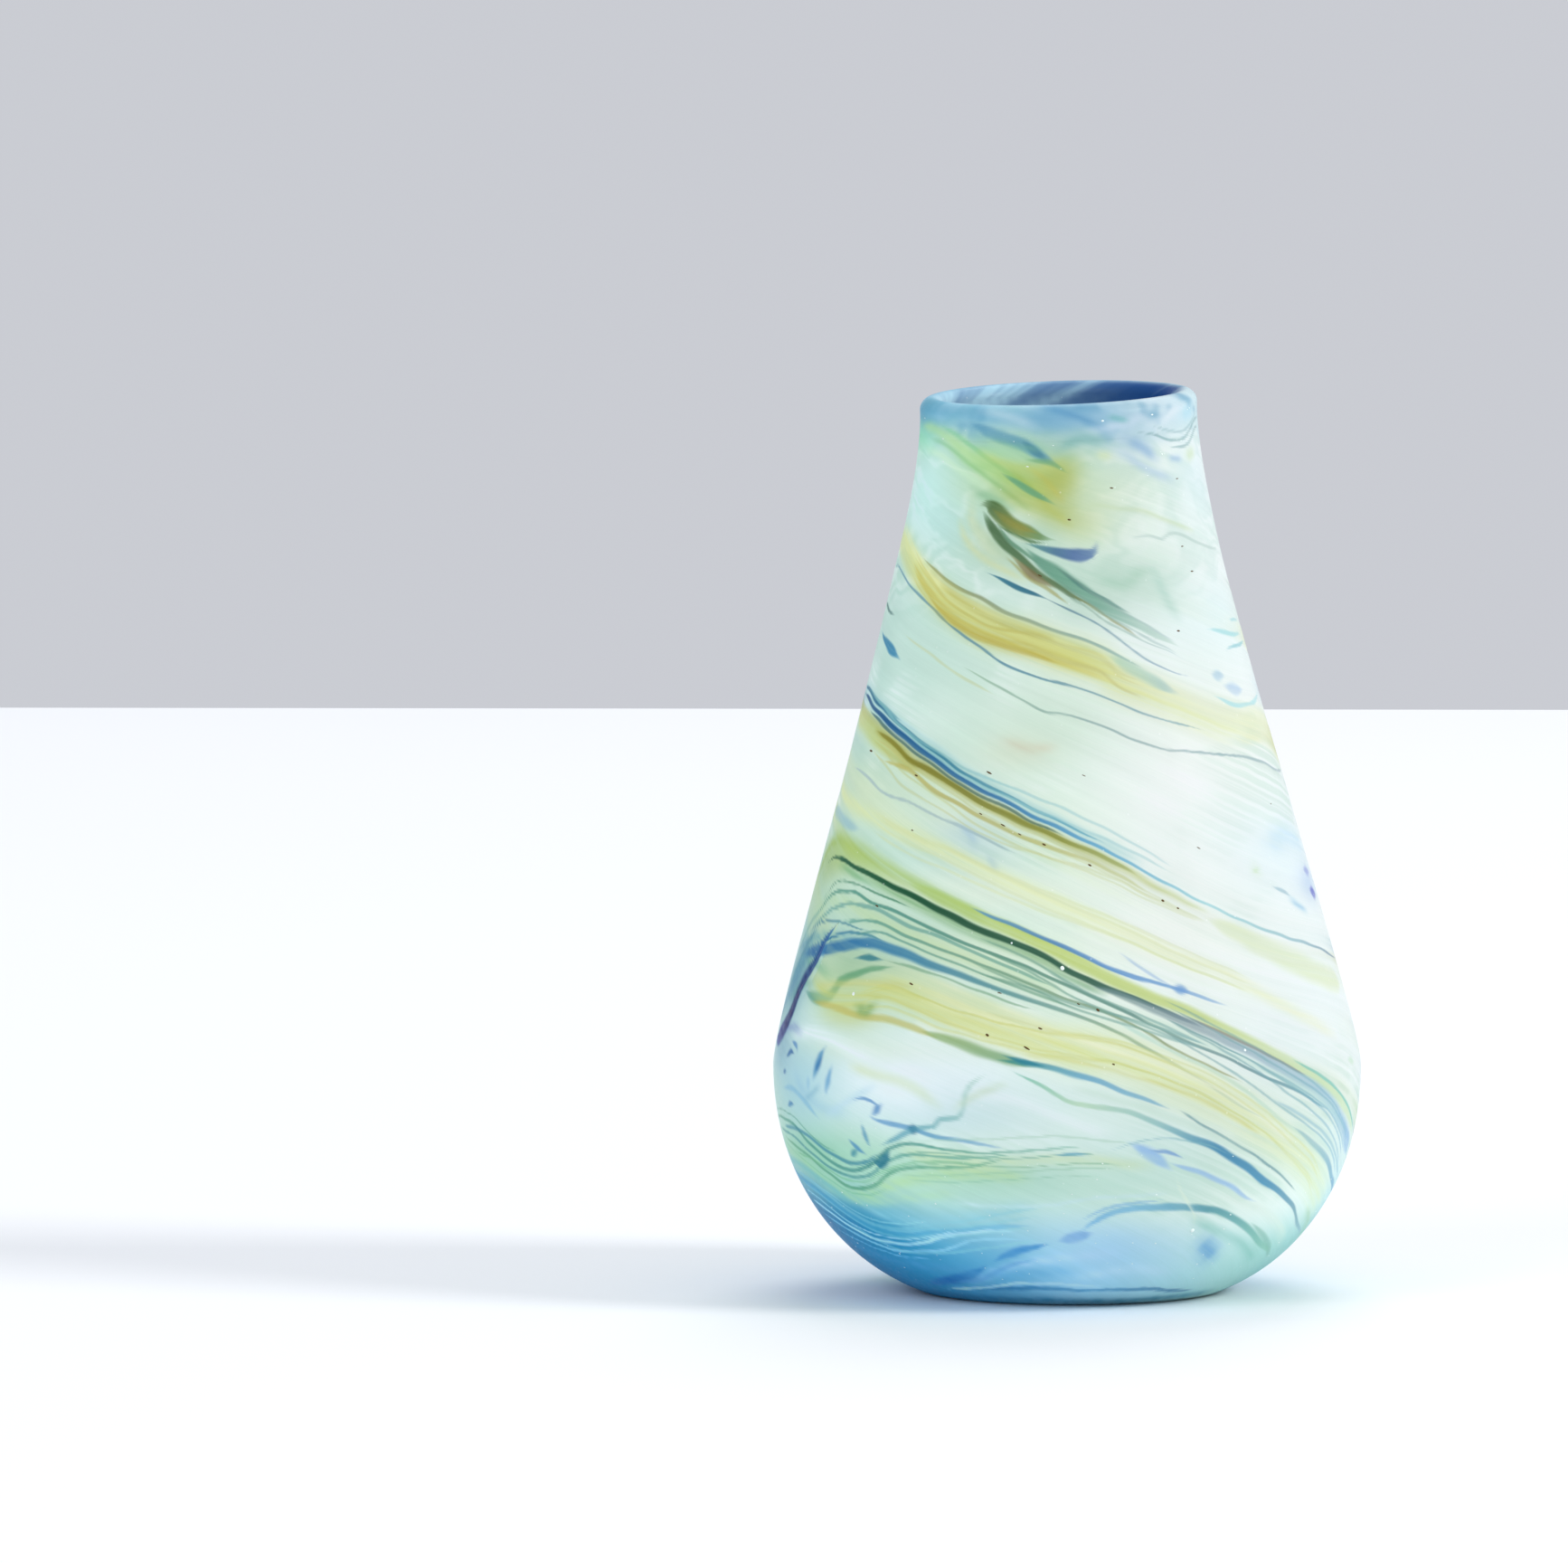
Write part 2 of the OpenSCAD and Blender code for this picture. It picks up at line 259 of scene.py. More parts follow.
# Soft clouds on the front: angle, height, width in degrees, height in mm, colour, strength.
CLOUDS = [
    (-66, 176, 26, 10, (208, 248, 242), 0.75), (-50, 170, 16, 6, (190, 228, 222), 0.5),
    (-18, 180, 22, 6.5, (182, 210, 124), 0.65), (-4, 178, 10, 5.5, (184, 188, 92), 0.75),
    (2, 183, 7, 3.5, (190, 196, 104), 0.5), (2, 163, 15, 14, (202, 224, 206), 0.5),
    (-24, 166, 14, 6, (176, 204, 172), 0.6), (8, 170, 10, 4, (206, 220, 160), 0.6),
    (-20, 186, 24, 4.5, (146, 208, 150), 0.6), (-80, 189, 16, 3.5, (150, 228, 178), 0.7),
    (16, 176, 12, 7, (212, 224, 176), 0.5), (32, 178, 16, 8, (224, 240, 216), 0.5),
    (68, 180, 22, 10, (226, 246, 250), 0.6), (50, 170, 26, 8, (232, 246, 240), 0.5),
    (18, 160, 22, 5, (194, 222, 204), 0.6), (36, 156, 10, 7, (194, 222, 206), 0.5),
    (60, 150, 26, 10, (234, 250, 250), 0.6), (-10, 168, 12, 4, (170, 206, 186), 0.5),
    (-45, 146, 34, 8, (206, 230, 216), 0.5), (-10, 126, 36, 12, (220, 238, 218), 0.55),
    (35, 112, 30, 18, (252, 255, 252), 0.85), (62, 98, 26, 12, (228, 246, 254), 0.7),
    (50, 80, 30, 18, (250, 255, 252), 0.6), (-30, 108, 30, 6, (232, 242, 218), 0.6),
    (-20, 92, 30, 5, (236, 244, 222), 0.7), (20, 84, 20, 8, (250, 253, 246), 0.7),
    (-20, 80, 26, 5, (226, 240, 214), 0.7), (14, 62, 22, 6, (232, 246, 226), 0.7),
    (42, 52, 20, 8, (226, 244, 236), 0.6), (74, 8, 14, 7, (130, 190, 190), 0.6),
    (-12, 122, 10, 4, (218, 220, 190), 0.5), (-66, 112, 26, 8, (212, 226, 186), 0.5),
    (-22, 103, 10, 5, (190, 214, 226), 0.45), (30, 97, 20, 7, (250, 254, 250), 0.5),
    (66, 64, 24, 14, (240, 250, 248), 0.6), (-66, 97, 12, 3.5, (168, 190, 96), 0.65),
    (-50, 84, 24, 5, (176, 208, 184), 0.55), (-50, 77, 18, 4, (150, 190, 170), 0.5),
    (-77, 70, 9, 10, (78, 136, 152), 0.75), (30, 56, 26, 8, (242, 251, 253), 0.5),
    (52, 62, 18, 9, (246, 252, 254), 0.6), (-52, 47, 16, 4, (206, 228, 234), 0.6),
    (-84, 84, 10, 10, (170, 208, 196), 0.5), (-30, 52, 26, 9, (236, 249, 248), 0.95),
    (30, 42, 12, 4, (236, 250, 248), 0.6), (-60, 56, 20, 8, (200, 228, 226), 0.7),
    (-46, 57, 22, 3.5, (216, 232, 200), 0.6), (4, 47, 18, 7, (226, 244, 238), 0.7),
    (-28, 46, 22, 6, (218, 240, 236), 0.7), (16, 38, 18, 6, (214, 238, 234), 0.7),
    (-70, 44, 16, 8, (170, 208, 200), 0.6), (-30, 44, 18, 5, (196, 224, 224), 0.6),
    (-60, 33, 26, 6, (132, 192, 158), 0.7), (-20, 30, 30, 5, (170, 212, 190), 0.7),
    (20, 30, 26, 6, (190, 226, 214), 0.6), (62, 34, 24, 10, (206, 236, 232), 0.5),
    (12, 14, 16, 7, (168, 208, 236), 0.7), (62, 12, 20, 7, (160, 214, 206), 0.7),
    (80, 22, 16, 10, (190, 230, 236), 0.6), (-64, 48, 14, 9, (158, 202, 216), 0.55),
    (-34, 50, 16, 8, (240, 248, 251), 0.7), (0, 194, 12, 4, (104, 160, 196), 0.55),
    (0, 188, 14, 4, (156, 194, 190), 0.5), (0, 179, 8, 5, (170, 176, 76), 0.4),
    (2, 172, 9, 3, (184, 196, 128), 0.5), (26, 190, 12, 5, (172, 206, 226), 0.5),
    (-76, 194, 12, 4, (60, 140, 160), 0.5), (-76, 95, 9, 6, (150, 178, 104), 0.5),
    (-77, 55, 8, 6, (120, 164, 186), 0.5), (78, 91, 8, 4, (190, 212, 242), 0.5),
    (76, 13, 9, 6, (120, 185, 180), 0.5), (-2, 128, 16, 12, (208, 229, 208), 0.4),
    (10, 154, 14, 5, (188, 215, 196), 0.5), (-50, 64, 10, 3, (190, 198, 112), 0.5),
    (-52, 73, 8, 4, (146, 186, 146), 0.5), (25, 60, 10, 6, (238, 248, 236), 0.5),
]

# Courses that several strokes share
AMBER_CORE = [(-88, 167), (-80, 166.6), (-72, 165), (-64, 162.2), (-56, 159), (-48, 155.9),
              (-40, 152.7), (-32, 150.3), (-24, 147.9), (-16, 146.7), (-8, 145.5), (0, 143),
              (11, 140.7), (17.7, 136.7), (25.7, 134.3), (33.7, 131.9), (41.8, 128.7),
              (51.4, 126.3), (61.8, 126.3), (73.8, 127), (88, 126)]
COBALT_LINE = [(-88, 131.3), (-80, 131.1), (-72, 129.6), (-64, 127.9), (-56, 125.5),
               (-48, 122.7), (-40, 120.1), (-32, 117.3), (-24, 114.1), (-16, 111.3),
               (-8, 107.9), (0, 104.7), (9.7, 100.3), (17.7, 96.3), (25.7, 92.3), (33.7, 88.3),
               (41.8, 84.7), (49.8, 81.9), (57.8, 79.5), (65.8, 77.7), (72.2, 76.3), (80, 74.2),
               (88, 72.7)]
OLIVE_LINE = [(-64, 125.1), (-56, 123.5), (-48, 120.3), (-40, 117.9), (-32, 115.5),
              (-24, 112.3), (-16, 109.3), (-8, 106.3), (0, 103.1), (9.7, 99.1), (17.7, 95.1),
              (24, 91.9), (33.7, 87.1)]
GREEN_LINE = [(-76, 95.1), (-72, 96.6), (-66.4, 96.9), (-60, 95.9), (-52, 94.5), (-44, 92.3),
              (-36, 89.9), (-27, 87.1), (-19, 84.3), (-11, 81.5), (-4.7, 78.7), (1.7, 75.1),
              (8, 72.3), (14.5, 69.5), (21.7, 66), (28.9, 62.4)]
YELLOW_BAND = [(-66.4, 70.3), (-56, 67.2), (-48, 67.2), (-38.3, 69.6), (-27, 66.4),
               (-16, 63.2), (-4, 60), (9.7, 57.6), (17.7, 54.4), (25.7, 50.4), (33.7, 45.6),
               (41.8, 40.8), (49.8, 35.6), (57.8, 30.8), (65.8, 24.8), (73.8, 19.2)]
HOOK_TEAL = [(-12.7, 165.8), (-8, 163), (-3, 160.6), (2.5, 157.8), (6.5, 156.3), (12, 153.5),
             (17.7, 151.5), (25.7, 148.7), (33.7, 146.3), (40, 143.9)]
DRIP = [(-86, 55.8), (-80.5, 57.4), (-76.6, 59.8), (-74.4, 63), (-72.8, 67), (-70, 71),
        (-66.4, 75), (-64.6, 79), (-60.5, 83.6)]

# Every stroke on the front, from the lip down: points, half widths in mm, one colour or
# several from end to end, strength and softness.
STROKES = [
    # the blue and green rim
    ([(-88, 194), (-60, 194.5), (-30, 194), (0, 193), (30, 194.6)], 2.2, [(84, 156, 188), (120, 180, 205),
     (124, 178, 208), (190, 220, 236)], 0.7, 0.8),
    ([(-34, 195), (-20, 193.6), (-8, 191.4)], 1.2, (196, 224, 232), 0.7, 0.8),
    ([(-6, 196), (8, 194), (20, 191)], 0.9, (96, 154, 196), 0.6, 0.8),
    ([(14, 190.6), (26, 192), (38, 194.4)], 1.2, (214, 232, 246), 0.7, 0.8),
    ([(26, 186), (38, 182), (50, 180)], 1.3, (178, 206, 234), 0.6, 0.85),
    ([(48, 192.6), (56, 195), (64, 196)], 1.0, (236, 246, 252), 0.7, 0.8),
    ([(-40, 192.2), (-27, 189.8), (-16, 188.2), (-8, 185.8), (0, 183)], 1.2, (90, 150, 180), 0.8, 0.6),
    ([(-16, 188.6), (-10, 186.6), (-4.7, 184.6)], 0.8, (74, 130, 150), 0.7, 0.5),
    ([(-76, 191), (-64, 190.6), (-52, 188.8), (-40, 185.6), (-28, 182.4), (-16, 179.6), (-6, 177)],
     [0.8, 1.6, 2.2, 2.4, 2.2], [LIME, LIME, (170, 214, 120), (172, 204, 104)], 0.6, 0.85),
    ([(-70, 186.4), (-56, 185), (-42, 181.6), (-30, 178.6)], 1.0, (214, 242, 206), 0.6, 0.8),
    ([(-66, 188.6), (-52, 187), (-38, 183.4), (-24, 179), (-12, 174.6)], 0.6, [(110, 180, 130),
     (130, 192, 116), (120, 170, 110)], 0.45, 0.85),
    ([(-20, 182.4), (-12, 179), (-4, 174.6)], 0.7, [(146, 176, 84), (160, 176, 80)], 0.5, 0.8),
    ([(-12, 183), (-5, 180), (1, 176)], 0.8, (206, 194, 96), 0.5, 0.8),
    ([(-8, 176), (-2, 173.6), (4, 170.6)], 1.1, (200, 204, 120), 0.6, 0.85),
    ([(-30, 189), (-18, 187.4), (-6, 187)], 0.9, (128, 186, 160), 0.5, 0.8),
    ([(-58, 191.4), (-44, 188.8), (-30, 184.8), (-18, 180.6), (-8, 176.4)], 0.5, [(120, 200, 150),
     (130, 190, 110)], 0.5, 0.7),
    ([(-34, 186), (-22, 183.6), (-10, 182.4), (2, 184)], 1.3, [(196, 216, 120), (206, 214, 130)],
     0.6, 0.85),
    ([(-88, 190.4), (-81.6, 190.2), (-72, 187.8), (-61.6, 187.4)], 2.4, (150, 222, 190), 0.5, 0.85),
    ([(0, 187), (10, 189), (20.9, 188)], 1.6, (120, 178, 176), 0.6, 0.8),
    ([(28.9, 188.6), (35.3, 187), (41.8, 184.6)], 1.6, (150, 186, 222), 0.8, 0.8),
    ([(49.8, 184.6), (57.8, 184.2)], 0.8, (170, 200, 232), 0.7, 0.8),
    ([(61.8, 194.2), (73.8, 195)], 2, (185, 230, 245), 0.7, 0.8),
    ([(20.9, 193.8), (28.9, 193)], 0.8, (120, 190, 190), 0.7, 0.8),
    ([(32, 190.6), (41.8, 189.8), (51.4, 188.6), (61, 188.6), (67.4, 190.2), (73.8, 192.2), (78.6, 193),
     (88, 193)], 0.3, (140, 178, 180), 0.7, 0.5),
    ([(49.8, 187), (61, 186.9), (68, 188.2), (76, 191), (85, 191.8)], 0.3, (140, 178, 180), 0.7, 0.5),
    ([(40, 192), (52, 190.6), (62, 190.4), (70, 192), (80, 194.6)], 0.3, (160, 196, 200), 0.6, 0.5),
    ([(62.6, 184.6), (70.6, 185.8)], 1.5, (215, 235, 195), 0.7, 0.8),
    ([(16, 185.4), (22, 185)], 1.2, (228, 238, 190), 0.7, 0.8),
    # the yellow-green patch under the rim
    ([(-24, 182), (-10, 180), (0, 181), (6, 183)], [2.4, 3.6, 3.2], [(172, 196, 100), (180, 186, 92)],
     0.45, 0.8),
    ([(-24, 178), (-12, 175.5), (-2, 173.5), (4, 174)], 2, (176, 190, 96), 0.5, 0.8),
    ([(-24, 181.8), (-16, 179.4), (-8, 177), (-1.5, 175)], 0.7, (96, 160, 130), 0.8, 0.5),
    ([(-36, 178), (-28, 176.6), (-18, 174)], 1.2, (120, 176, 130), 0.5, 0.8),
    ([(-14, 184.6), (-4, 184), (4, 181.6)], 0.6, (110, 168, 120), 0.6, 0.6),
    # the pale arcs of the neck
    ([(6.5, 173.4), (13.7, 175), (24, 174.2), (33.7, 173.4), (43.4, 171.4), (57.8, 169)], 0.6,
     (208, 226, 186), 0.6, 0.8),
    ([(25.7, 167.7), (35.3, 168.2), (40, 167.4), (44, 168.6), (51.4, 168.2), (60, 166.2), (72, 164.6),
     (78.6, 164.2)], 0.35, (188, 212, 204), 0.65, 0.5),
    ([(13.7, 159), (21.7, 157.5), (28, 159.9), (32, 160.7)], 1.6, (176, 212, 190), 0.6, 0.8),
    ([(33.7, 160.7), (37.7, 154.3), (40.9, 150.3)], 1.4, (184, 218, 204), 0.6, 0.8),
    ([(-40.7, 171), (-36.7, 167), (-30.3, 163.8), (-20, 160.6), (-12, 158.6)], 1, (214, 222, 170),
     0.7, 0.8),
    # the hook
    ([(-36, 172), (-28, 168), (-18, 163.4), (-8, 159.6), (4, 155.6)], 1.4, [(196, 214, 170),
     (184, 210, 180)], 0.6, 0.8),
    ([(-36, 176), (-35, 171), (-28, 166), (-20, 162)], 1.6, (214, 226, 186), 0.6, 0.8),
    (HOOK_TEAL, [0.8, 1.7, 1.5, 0.9, 0.6], [(82, 136, 112), (96, 152, 126), (120, 168, 148),
     (176, 208, 194), (206, 228, 218)], 0.9, 0.5),
    ([(-2, 161.4), (6, 157.6), (14, 154.4), (24, 151)], 0.45, [(70, 116, 110), (120, 160, 150)],
     0.8, 0.5),
    ([(-30, 173.4), (-25, 169.6), (-19, 165.8), (-12, 162.2), (-6, 159.2), (2, 155.8), (10, 152.8)],
     [1.6, 1.0, 0.7, 0.5, 0.4], [(58, 92, 52), (64, 98, 58), (84, 108, 70), (112, 130, 96)], 0.93, 0.4),
    ([(-18, 164), (-12, 160.8), (-6, 158.2), (-1, 156.4)], [0.5, 0.9, 0.5], [(140, 136, 84),
     (128, 108, 74), (150, 150, 110)], 0.85, 0.5),
    ([(-24, 171.4), (-19, 167.6), (-13, 164.6), (-7, 161.8)], 0.45, [(84, 130, 96), (92, 140, 112)],
     0.85, 0.45),
    ([(-32, 174.6), (-28.6, 175.2), (-24, 173.6), (-18.3, 171.2), (-12, 169.4), (-6.3, 168), (-1, 167.4)],
     [1.0, 2.0, 1.7, 1.6, 1.5, 1.1, 0.6], [(66, 96, 56), (74, 102, 52), (98, 118, 54), (122, 134, 62),
     (108, 140, 84), (120, 160, 120)], 0.95, 0.35),
    ([(-27, 174.4), (-20, 172), (-13, 170), (-7, 168.8)], [0.5, 0.9, 0.8, 0.5], [(120, 128, 58),
     (150, 146, 68), (156, 150, 76)], 0.75, 0.7),
    ([(-24, 171.2), (-17, 168.8), (-10, 167), (-4, 166.8)], 0.4, (72, 110, 66), 0.85, 0.45),
    ([(-20, 169.6), (-14, 167.4), (-9, 166.2)], 0.45, (206, 226, 196), 0.7, 0.6),
    ([(-14, 166.9), (-8, 165.9), (-2, 164.9), (4, 163.9), (9, 163.9), (12.6, 164.8), (14.4, 167.4)],
     [0.4, 0.5, 0.8, 1.2, 1.5, 1.3, 0.6], [(104, 158, 146), (84, 136, 140), (64, 104, 142),
     (70, 100, 156), (92, 122, 170), (120, 150, 190)], 0.92, 0.4),
    ([(1.7, 156.3), (8.1, 153.5), (17.7, 149.5), (26, 146)], 0.3, (140, 140, 90), 0.6, 0.5),
    ([(-27, 160), (-22, 158.9), (-16, 157.3), (-10, 155.9), (-4, 154.4)], [0.2, 0.35, 0.55, 0.5, 0.3],
     [(60, 120, 140), (34, 98, 124), (40, 96, 120)], 0.93, 0.4),
    ([(-6.3, 155.1), (1.7, 152.5), (8, 150.3), (14.5, 147.9), (21.7, 144.3), (28, 141.5), (35.3, 139.1),
     (41.8, 137.9)], 0.2, [(84, 120, 136), (120, 156, 172), (160, 186, 208)], 0.85, 0.5),
    ([(-20, 163.8), (-12, 159.6), (-4, 156.4), (3, 153.2)], 0.4, (160, 150, 80), 0.6, 0.5),
    # the amber trail
    (AMBER_CORE, [2.4, 3.0, 3.8, 4.2, 4, 3.6, 3.6], [(226, 232, 158), (220, 222, 142), (216, 214, 124),
     (218, 218, 130), (232, 238, 182), (240, 246, 208), (242, 247, 216)], 0.8, 0.75),
    ([(-57.6, 162.6), (-48, 159.8), (-38, 156.7), (-28, 154.7), (-19, 151.9), (-11, 149.9), (-1.5, 147.5),
     (11, 144.7), (25.7, 139.9)], [0.3, 0.4, 0.35, 0.3], [(150, 152, 88), (128, 138, 96), (124, 154, 146),
     (150, 188, 184)], 0.8, 0.5),
    ([(-54, 160.6), (-44, 157.6), (-34, 154.8), (-22, 151.8), (-10, 148.6), (0, 146.2), (12, 143)], 0.9,
     [(206, 196, 110), (200, 200, 120), (206, 218, 160)], 0.5, 0.85),
    ([(-61.6, 160.6), (-52, 155.9), (-40, 151), (-28, 147.1), (-20, 145.6), (-11, 143.9), (-1.5, 141.9),
     (6.5, 139.9), (14, 138)], [0.8, 1.4, 1.9, 1.7, 1.2], [(204, 194, 96), (196, 178, 72), (196, 182, 78),
     (212, 206, 116)], 0.65, 0.85),
    ([(-50, 154.6), (-40, 150.4), (-30, 147), (-20, 145), (-10, 143), (0, 140.8)], [0.4, 0.6, 0.4],
     (186, 164, 66), 0.5, 0.7),
    ([(-70, 165.4), (-58, 161.6), (-46, 157.2), (-34, 153.4), (-20, 150)], 0.9, [(240, 240, 176),
     (236, 236, 160)], 0.6, 0.85),
    ([(-44, 156.6), (-30, 152.4), (-16, 148.6), (-4, 146)], 0.8, (180, 172, 80), 0.5, 0.8),
    ([(57.8, 123.1), (69.8, 123.5), (82, 123)], 1.2, (236, 240, 200), 0.6, 0.8),
    ([(13.7, 143.1), (24, 139.1), (32, 135.9), (36.9, 134.1)], 1.2, [(176, 212, 184), (170, 208, 190),
     (140, 186, 206)], 0.7, 0.7),
    # fine grey and blue lines of the mint field
    ([(-88, 160), (-80, 160.6), (-69.6, 158.3), (-60.8, 155.9), (-53.6, 153.9), (-46.4, 151.9),
     (-38.3, 148.7), (-32, 146.3), (-25.5, 143.9), (-17.5, 140.7), (-8, 138.3), (1.7, 136.3),
     (9.7, 134.3), (17.7, 131.9), (25.7, 129.5), (33.7, 127.9), (43.4, 125.9)], [0.2, 0.26, 0.26, 0.2],
     [(96, 144, 164), (84, 134, 156), (92, 138, 156), (140, 178, 188)], 0.85, 0.45),
    ([(-32, 139.9), (-24, 137.5), (-12.7, 133.5), (-4.7, 130.3), (1.7, 129.6), (8, 128.1), (15.3, 126.1),
     (21.7, 123.9), (29.7, 122.1), (36.9, 121.3), (46.6, 120.3), (57.8, 119.5), (69.8, 117.5),
     (77.8, 115.7), (88, 115.3)], [0.2, 0.22, 0.25, 0.35], [(150, 186, 150), (130, 160, 160),
     (140, 170, 178), (160, 184, 190)], 0.8, 0.5),
    ([(-60, 146.4), (-46, 142.6), (-34, 138.4), (-20, 134)], 0.3, (200, 206, 150), 0.5, 0.6),
    ([(-88, 152.1), (-83, 151.9), (-77, 150.9), (-70, 150.3)], 0.4, (60, 100, 96), 0.8, 0.45),
    ([(-81.2, 146.3), (-76, 145.1), (-68, 143.1), (-59.2, 140.4)], [0.5, 0.7, 1.2, 0.9], [(30, 110, 150),
     (40, 120, 168)], 0.95, 0.4),
    ([(-16, 124), (-8, 122.6), (-2, 123)], 1.2, (214, 206, 178), 0.5, 0.9),
    # teal and blue marks on the right of the neck
    ([(53.8, 147.1), (59.4, 146.7), (69.8, 145.6), (80, 145.5)], 0.5, (170, 226, 230), 0.8, 0.6),
    ([(61.8, 141.9), (64.2, 142.8), (73.8, 143.2), (84, 143.9)], 0.35, (150, 208, 216), 0.8, 0.5),
    ([(69.8, 148.7), (82, 148.5)], 0.4, (170, 220, 226), 0.7, 0.5),
    ([(51.4, 137.9), (57.8, 137.1)], 1, (180, 212, 232), 0.8, 0.7),
    ([(56, 135.1), (62.6, 134.1), (67.4, 134.1)], 1.2, (188, 214, 240), 0.8, 0.7),
    ([(49.8, 133.5), (57.8, 131.2), (65.8, 130.6), (73.8, 131.1), (84, 133.1)], 0.45, (176, 230, 236),
     0.8, 0.5),
    # the cobalt and olive bundle
    ([(p, z + 2.2) for p, z in COBALT_LINE[:14]], [1.6, 1.8, 1.2], [(160, 204, 206), (150, 198, 200),
     (186, 222, 220)], 0.6, 0.9),
    ([(-88, 127.6), (-80, 127.2), (-72, 126.4), (-64, 124.4), (-54, 121.6), (-40, 117)], [2, 2.2, 1.2],
     [(206, 208, 130), (190, 200, 112), (176, 176, 90)], 0.75, 0.7),
    (OLIVE_LINE, [0.8, 1.3, 1.2, 1.0, 0.6], [(176, 176, 88), (176, 172, 78), (182, 180, 86),
     (196, 202, 124), (220, 232, 190)], 0.85, 0.8),
    ([(p, z + 0.1) for p, z in OLIVE_LINE[:-2]], [0.3, 0.55, 0.6, 0.5, 0.35], [(138, 132, 50),
     (122, 116, 42), (122, 122, 46), (140, 144, 70), (178, 190, 130)], 0.92, 0.4),
    ([(p, z + 0.7) for p, z in COBALT_LINE], [0.45, 0.55, 0.5, 0.4, 0.3, 0.3, 0.35], [(20, 70, 116),
     (24, 80, 130), (40, 100, 152), (100, 168, 204), (164, 220, 226), (160, 196, 206), (118, 138, 160)],
     0.92, 0.4),
    ([(p, z + 2.2) for p, z in COBALT_LINE[:13]], [0.4, 0.38, 0.25], [(24, 84, 122), (52, 120, 144),
     (110, 176, 196)], 0.88, 0.4),
    ([(p, z - 0.5) for p, z in COBALT_LINE[2:12]], [0.35, 0.3], [(40, 84, 96), (70, 100, 84)], 0.8, 0.4),
    ([(-84, 133.6), (-74, 132.6), (-64, 130.6), (-52, 127.2)], 0.35, (90, 150, 160), 0.6, 0.5),
    ([(33.7, 85.5), (45.8, 79.9), (57.8, 75.1), (69.8, 71.2), (81.8, 68.8)], [1.4, 2.5, 2.6],
     [(226, 238, 196), (232, 242, 206)], 0.8, 0.7),
    # straw field
    ([(-57, 119.1), (-45.5, 117.5), (-36, 113.5), (-25.5, 109.9), (-16, 106.3), (-4, 101.9), (8, 97.5),
     (20, 91.6)], [0.4, 0.5, 0.45, 0.35], [(196, 184, 96), (176, 164, 80), (182, 176, 96),
     (206, 214, 160)], 0.75, 0.5),
    ([(-74, 116.6), (-68.8, 116.3), (-60.8, 114.7), (-52.8, 112.1), (-43, 110.3), (-32, 107.1),
     (-24, 105.1), (-11, 100.3)], 0.3, [(160, 184, 190), (150, 176, 180)], 0.7, 0.45),
    ([(-88, 106.6), (-84, 106.3), (-76, 105.5), (-68, 104.3), (-60, 103.5)], 1.1, (150, 190, 198),
     0.75, 0.7),
    ([(-88, 113.4), (-81, 111), (-67, 108.6), (-54, 106.3), (-40, 102.7), (-27, 99.5), (-10, 93),
     (1.7, 88.3), (9.7, 85.1), (17.7, 81.5), (25.7, 77.9), (33.7, 75.1), (41.8, 70.7), (51.4, 66),
     (61, 61.6), (67.4, 59)], [1.8, 2.2, 1.8, 1.6, 1.6], [(220, 228, 164), (226, 234, 176),
     (234, 240, 190), (238, 244, 208), (244, 248, 224)], 0.8, 0.8),
    ([(-26, 106), (-23, 104), (-22, 101.5)], 1.2, (170, 200, 216), 0.55, 0.9),
    ([(-18, 99.4), (-16, 96.6)], 0.9, (176, 204, 206), 0.5, 0.9),
    # right side marks
    ([(59, 101), (70, 102), (84, 99)], 3, (205, 233, 248), 0.6, 0.9),
    ([(56, 91.8), (61, 90.3), (63.4, 88.9)], 0.45, (160, 196, 210), 0.8, 0.6),
    ([(62.6, 88.7), (66, 87), (69.8, 85.5)], 1, (176, 214, 236), 0.8, 0.8),
    ([(76.6, 94), (83.4, 93.4)], 1, (160, 172, 226), 0.8, 0.7),
    ([(77, 89.6), (80, 88.8), (83.6, 88.2)], [1.1, 1.5, 1.1], (112, 118, 206), 0.9, 0.6),
    ([(51.4, 96), (51.8, 95)], 1.8, (214, 238, 200), 0.7, 0.9),
    ([(72.2, 52.8), (77, 52)], 0.9, (205, 236, 208), 0.7, 0.7),
    # the green trail
    ([(-84, 92), (-80, 97.4), (-74, 100), (-66, 100.2), (-56, 98.4), (-44, 95), (-32, 91.4), (-18, 86.8)],
     [1.2, 2.0, 1.9, 1.6, 1.2], [(150, 182, 100), (172, 196, 100), (172, 200, 116), (168, 204, 132)],
     0.8, 0.85),
    ([(-40, 93.4), (-27, 89.6), (-11, 84), (1.7, 77.9), (9.7, 73.9), (17.7, 69.9), (25.7, 66.4),
     (33.7, 62), (41.8, 58), (49.8, 54), (57.8, 49.6), (65.8, 45.2), (73.8, 40.4), (82, 35)],
     [1.0, 1.3, 1.2, 1.1, 1.1], [(176, 204, 120), (188, 206, 104), (200, 216, 128), (208, 230, 172),
     (210, 238, 200)], 0.85, 0.7),
    ([(p, z - 1.4) for p, z in GREEN_LINE[2:13]], 1, [(120, 176, 120), (110, 160, 112)], 0.6, 0.8),
    (GREEN_LINE, [0.35, 0.5, 0.65, 0.65, 0.55, 0.4], [(30, 88, 62), (22, 74, 48), (20, 66, 44),
     (36, 78, 64), (84, 116, 132)], 0.96, 0.4),
    ([(-21.5, 88.7), (-11, 85.1), (-1.5, 81.1), (8, 76.7), (14.5, 74.3), (20, 72.7), (25, 71.1),
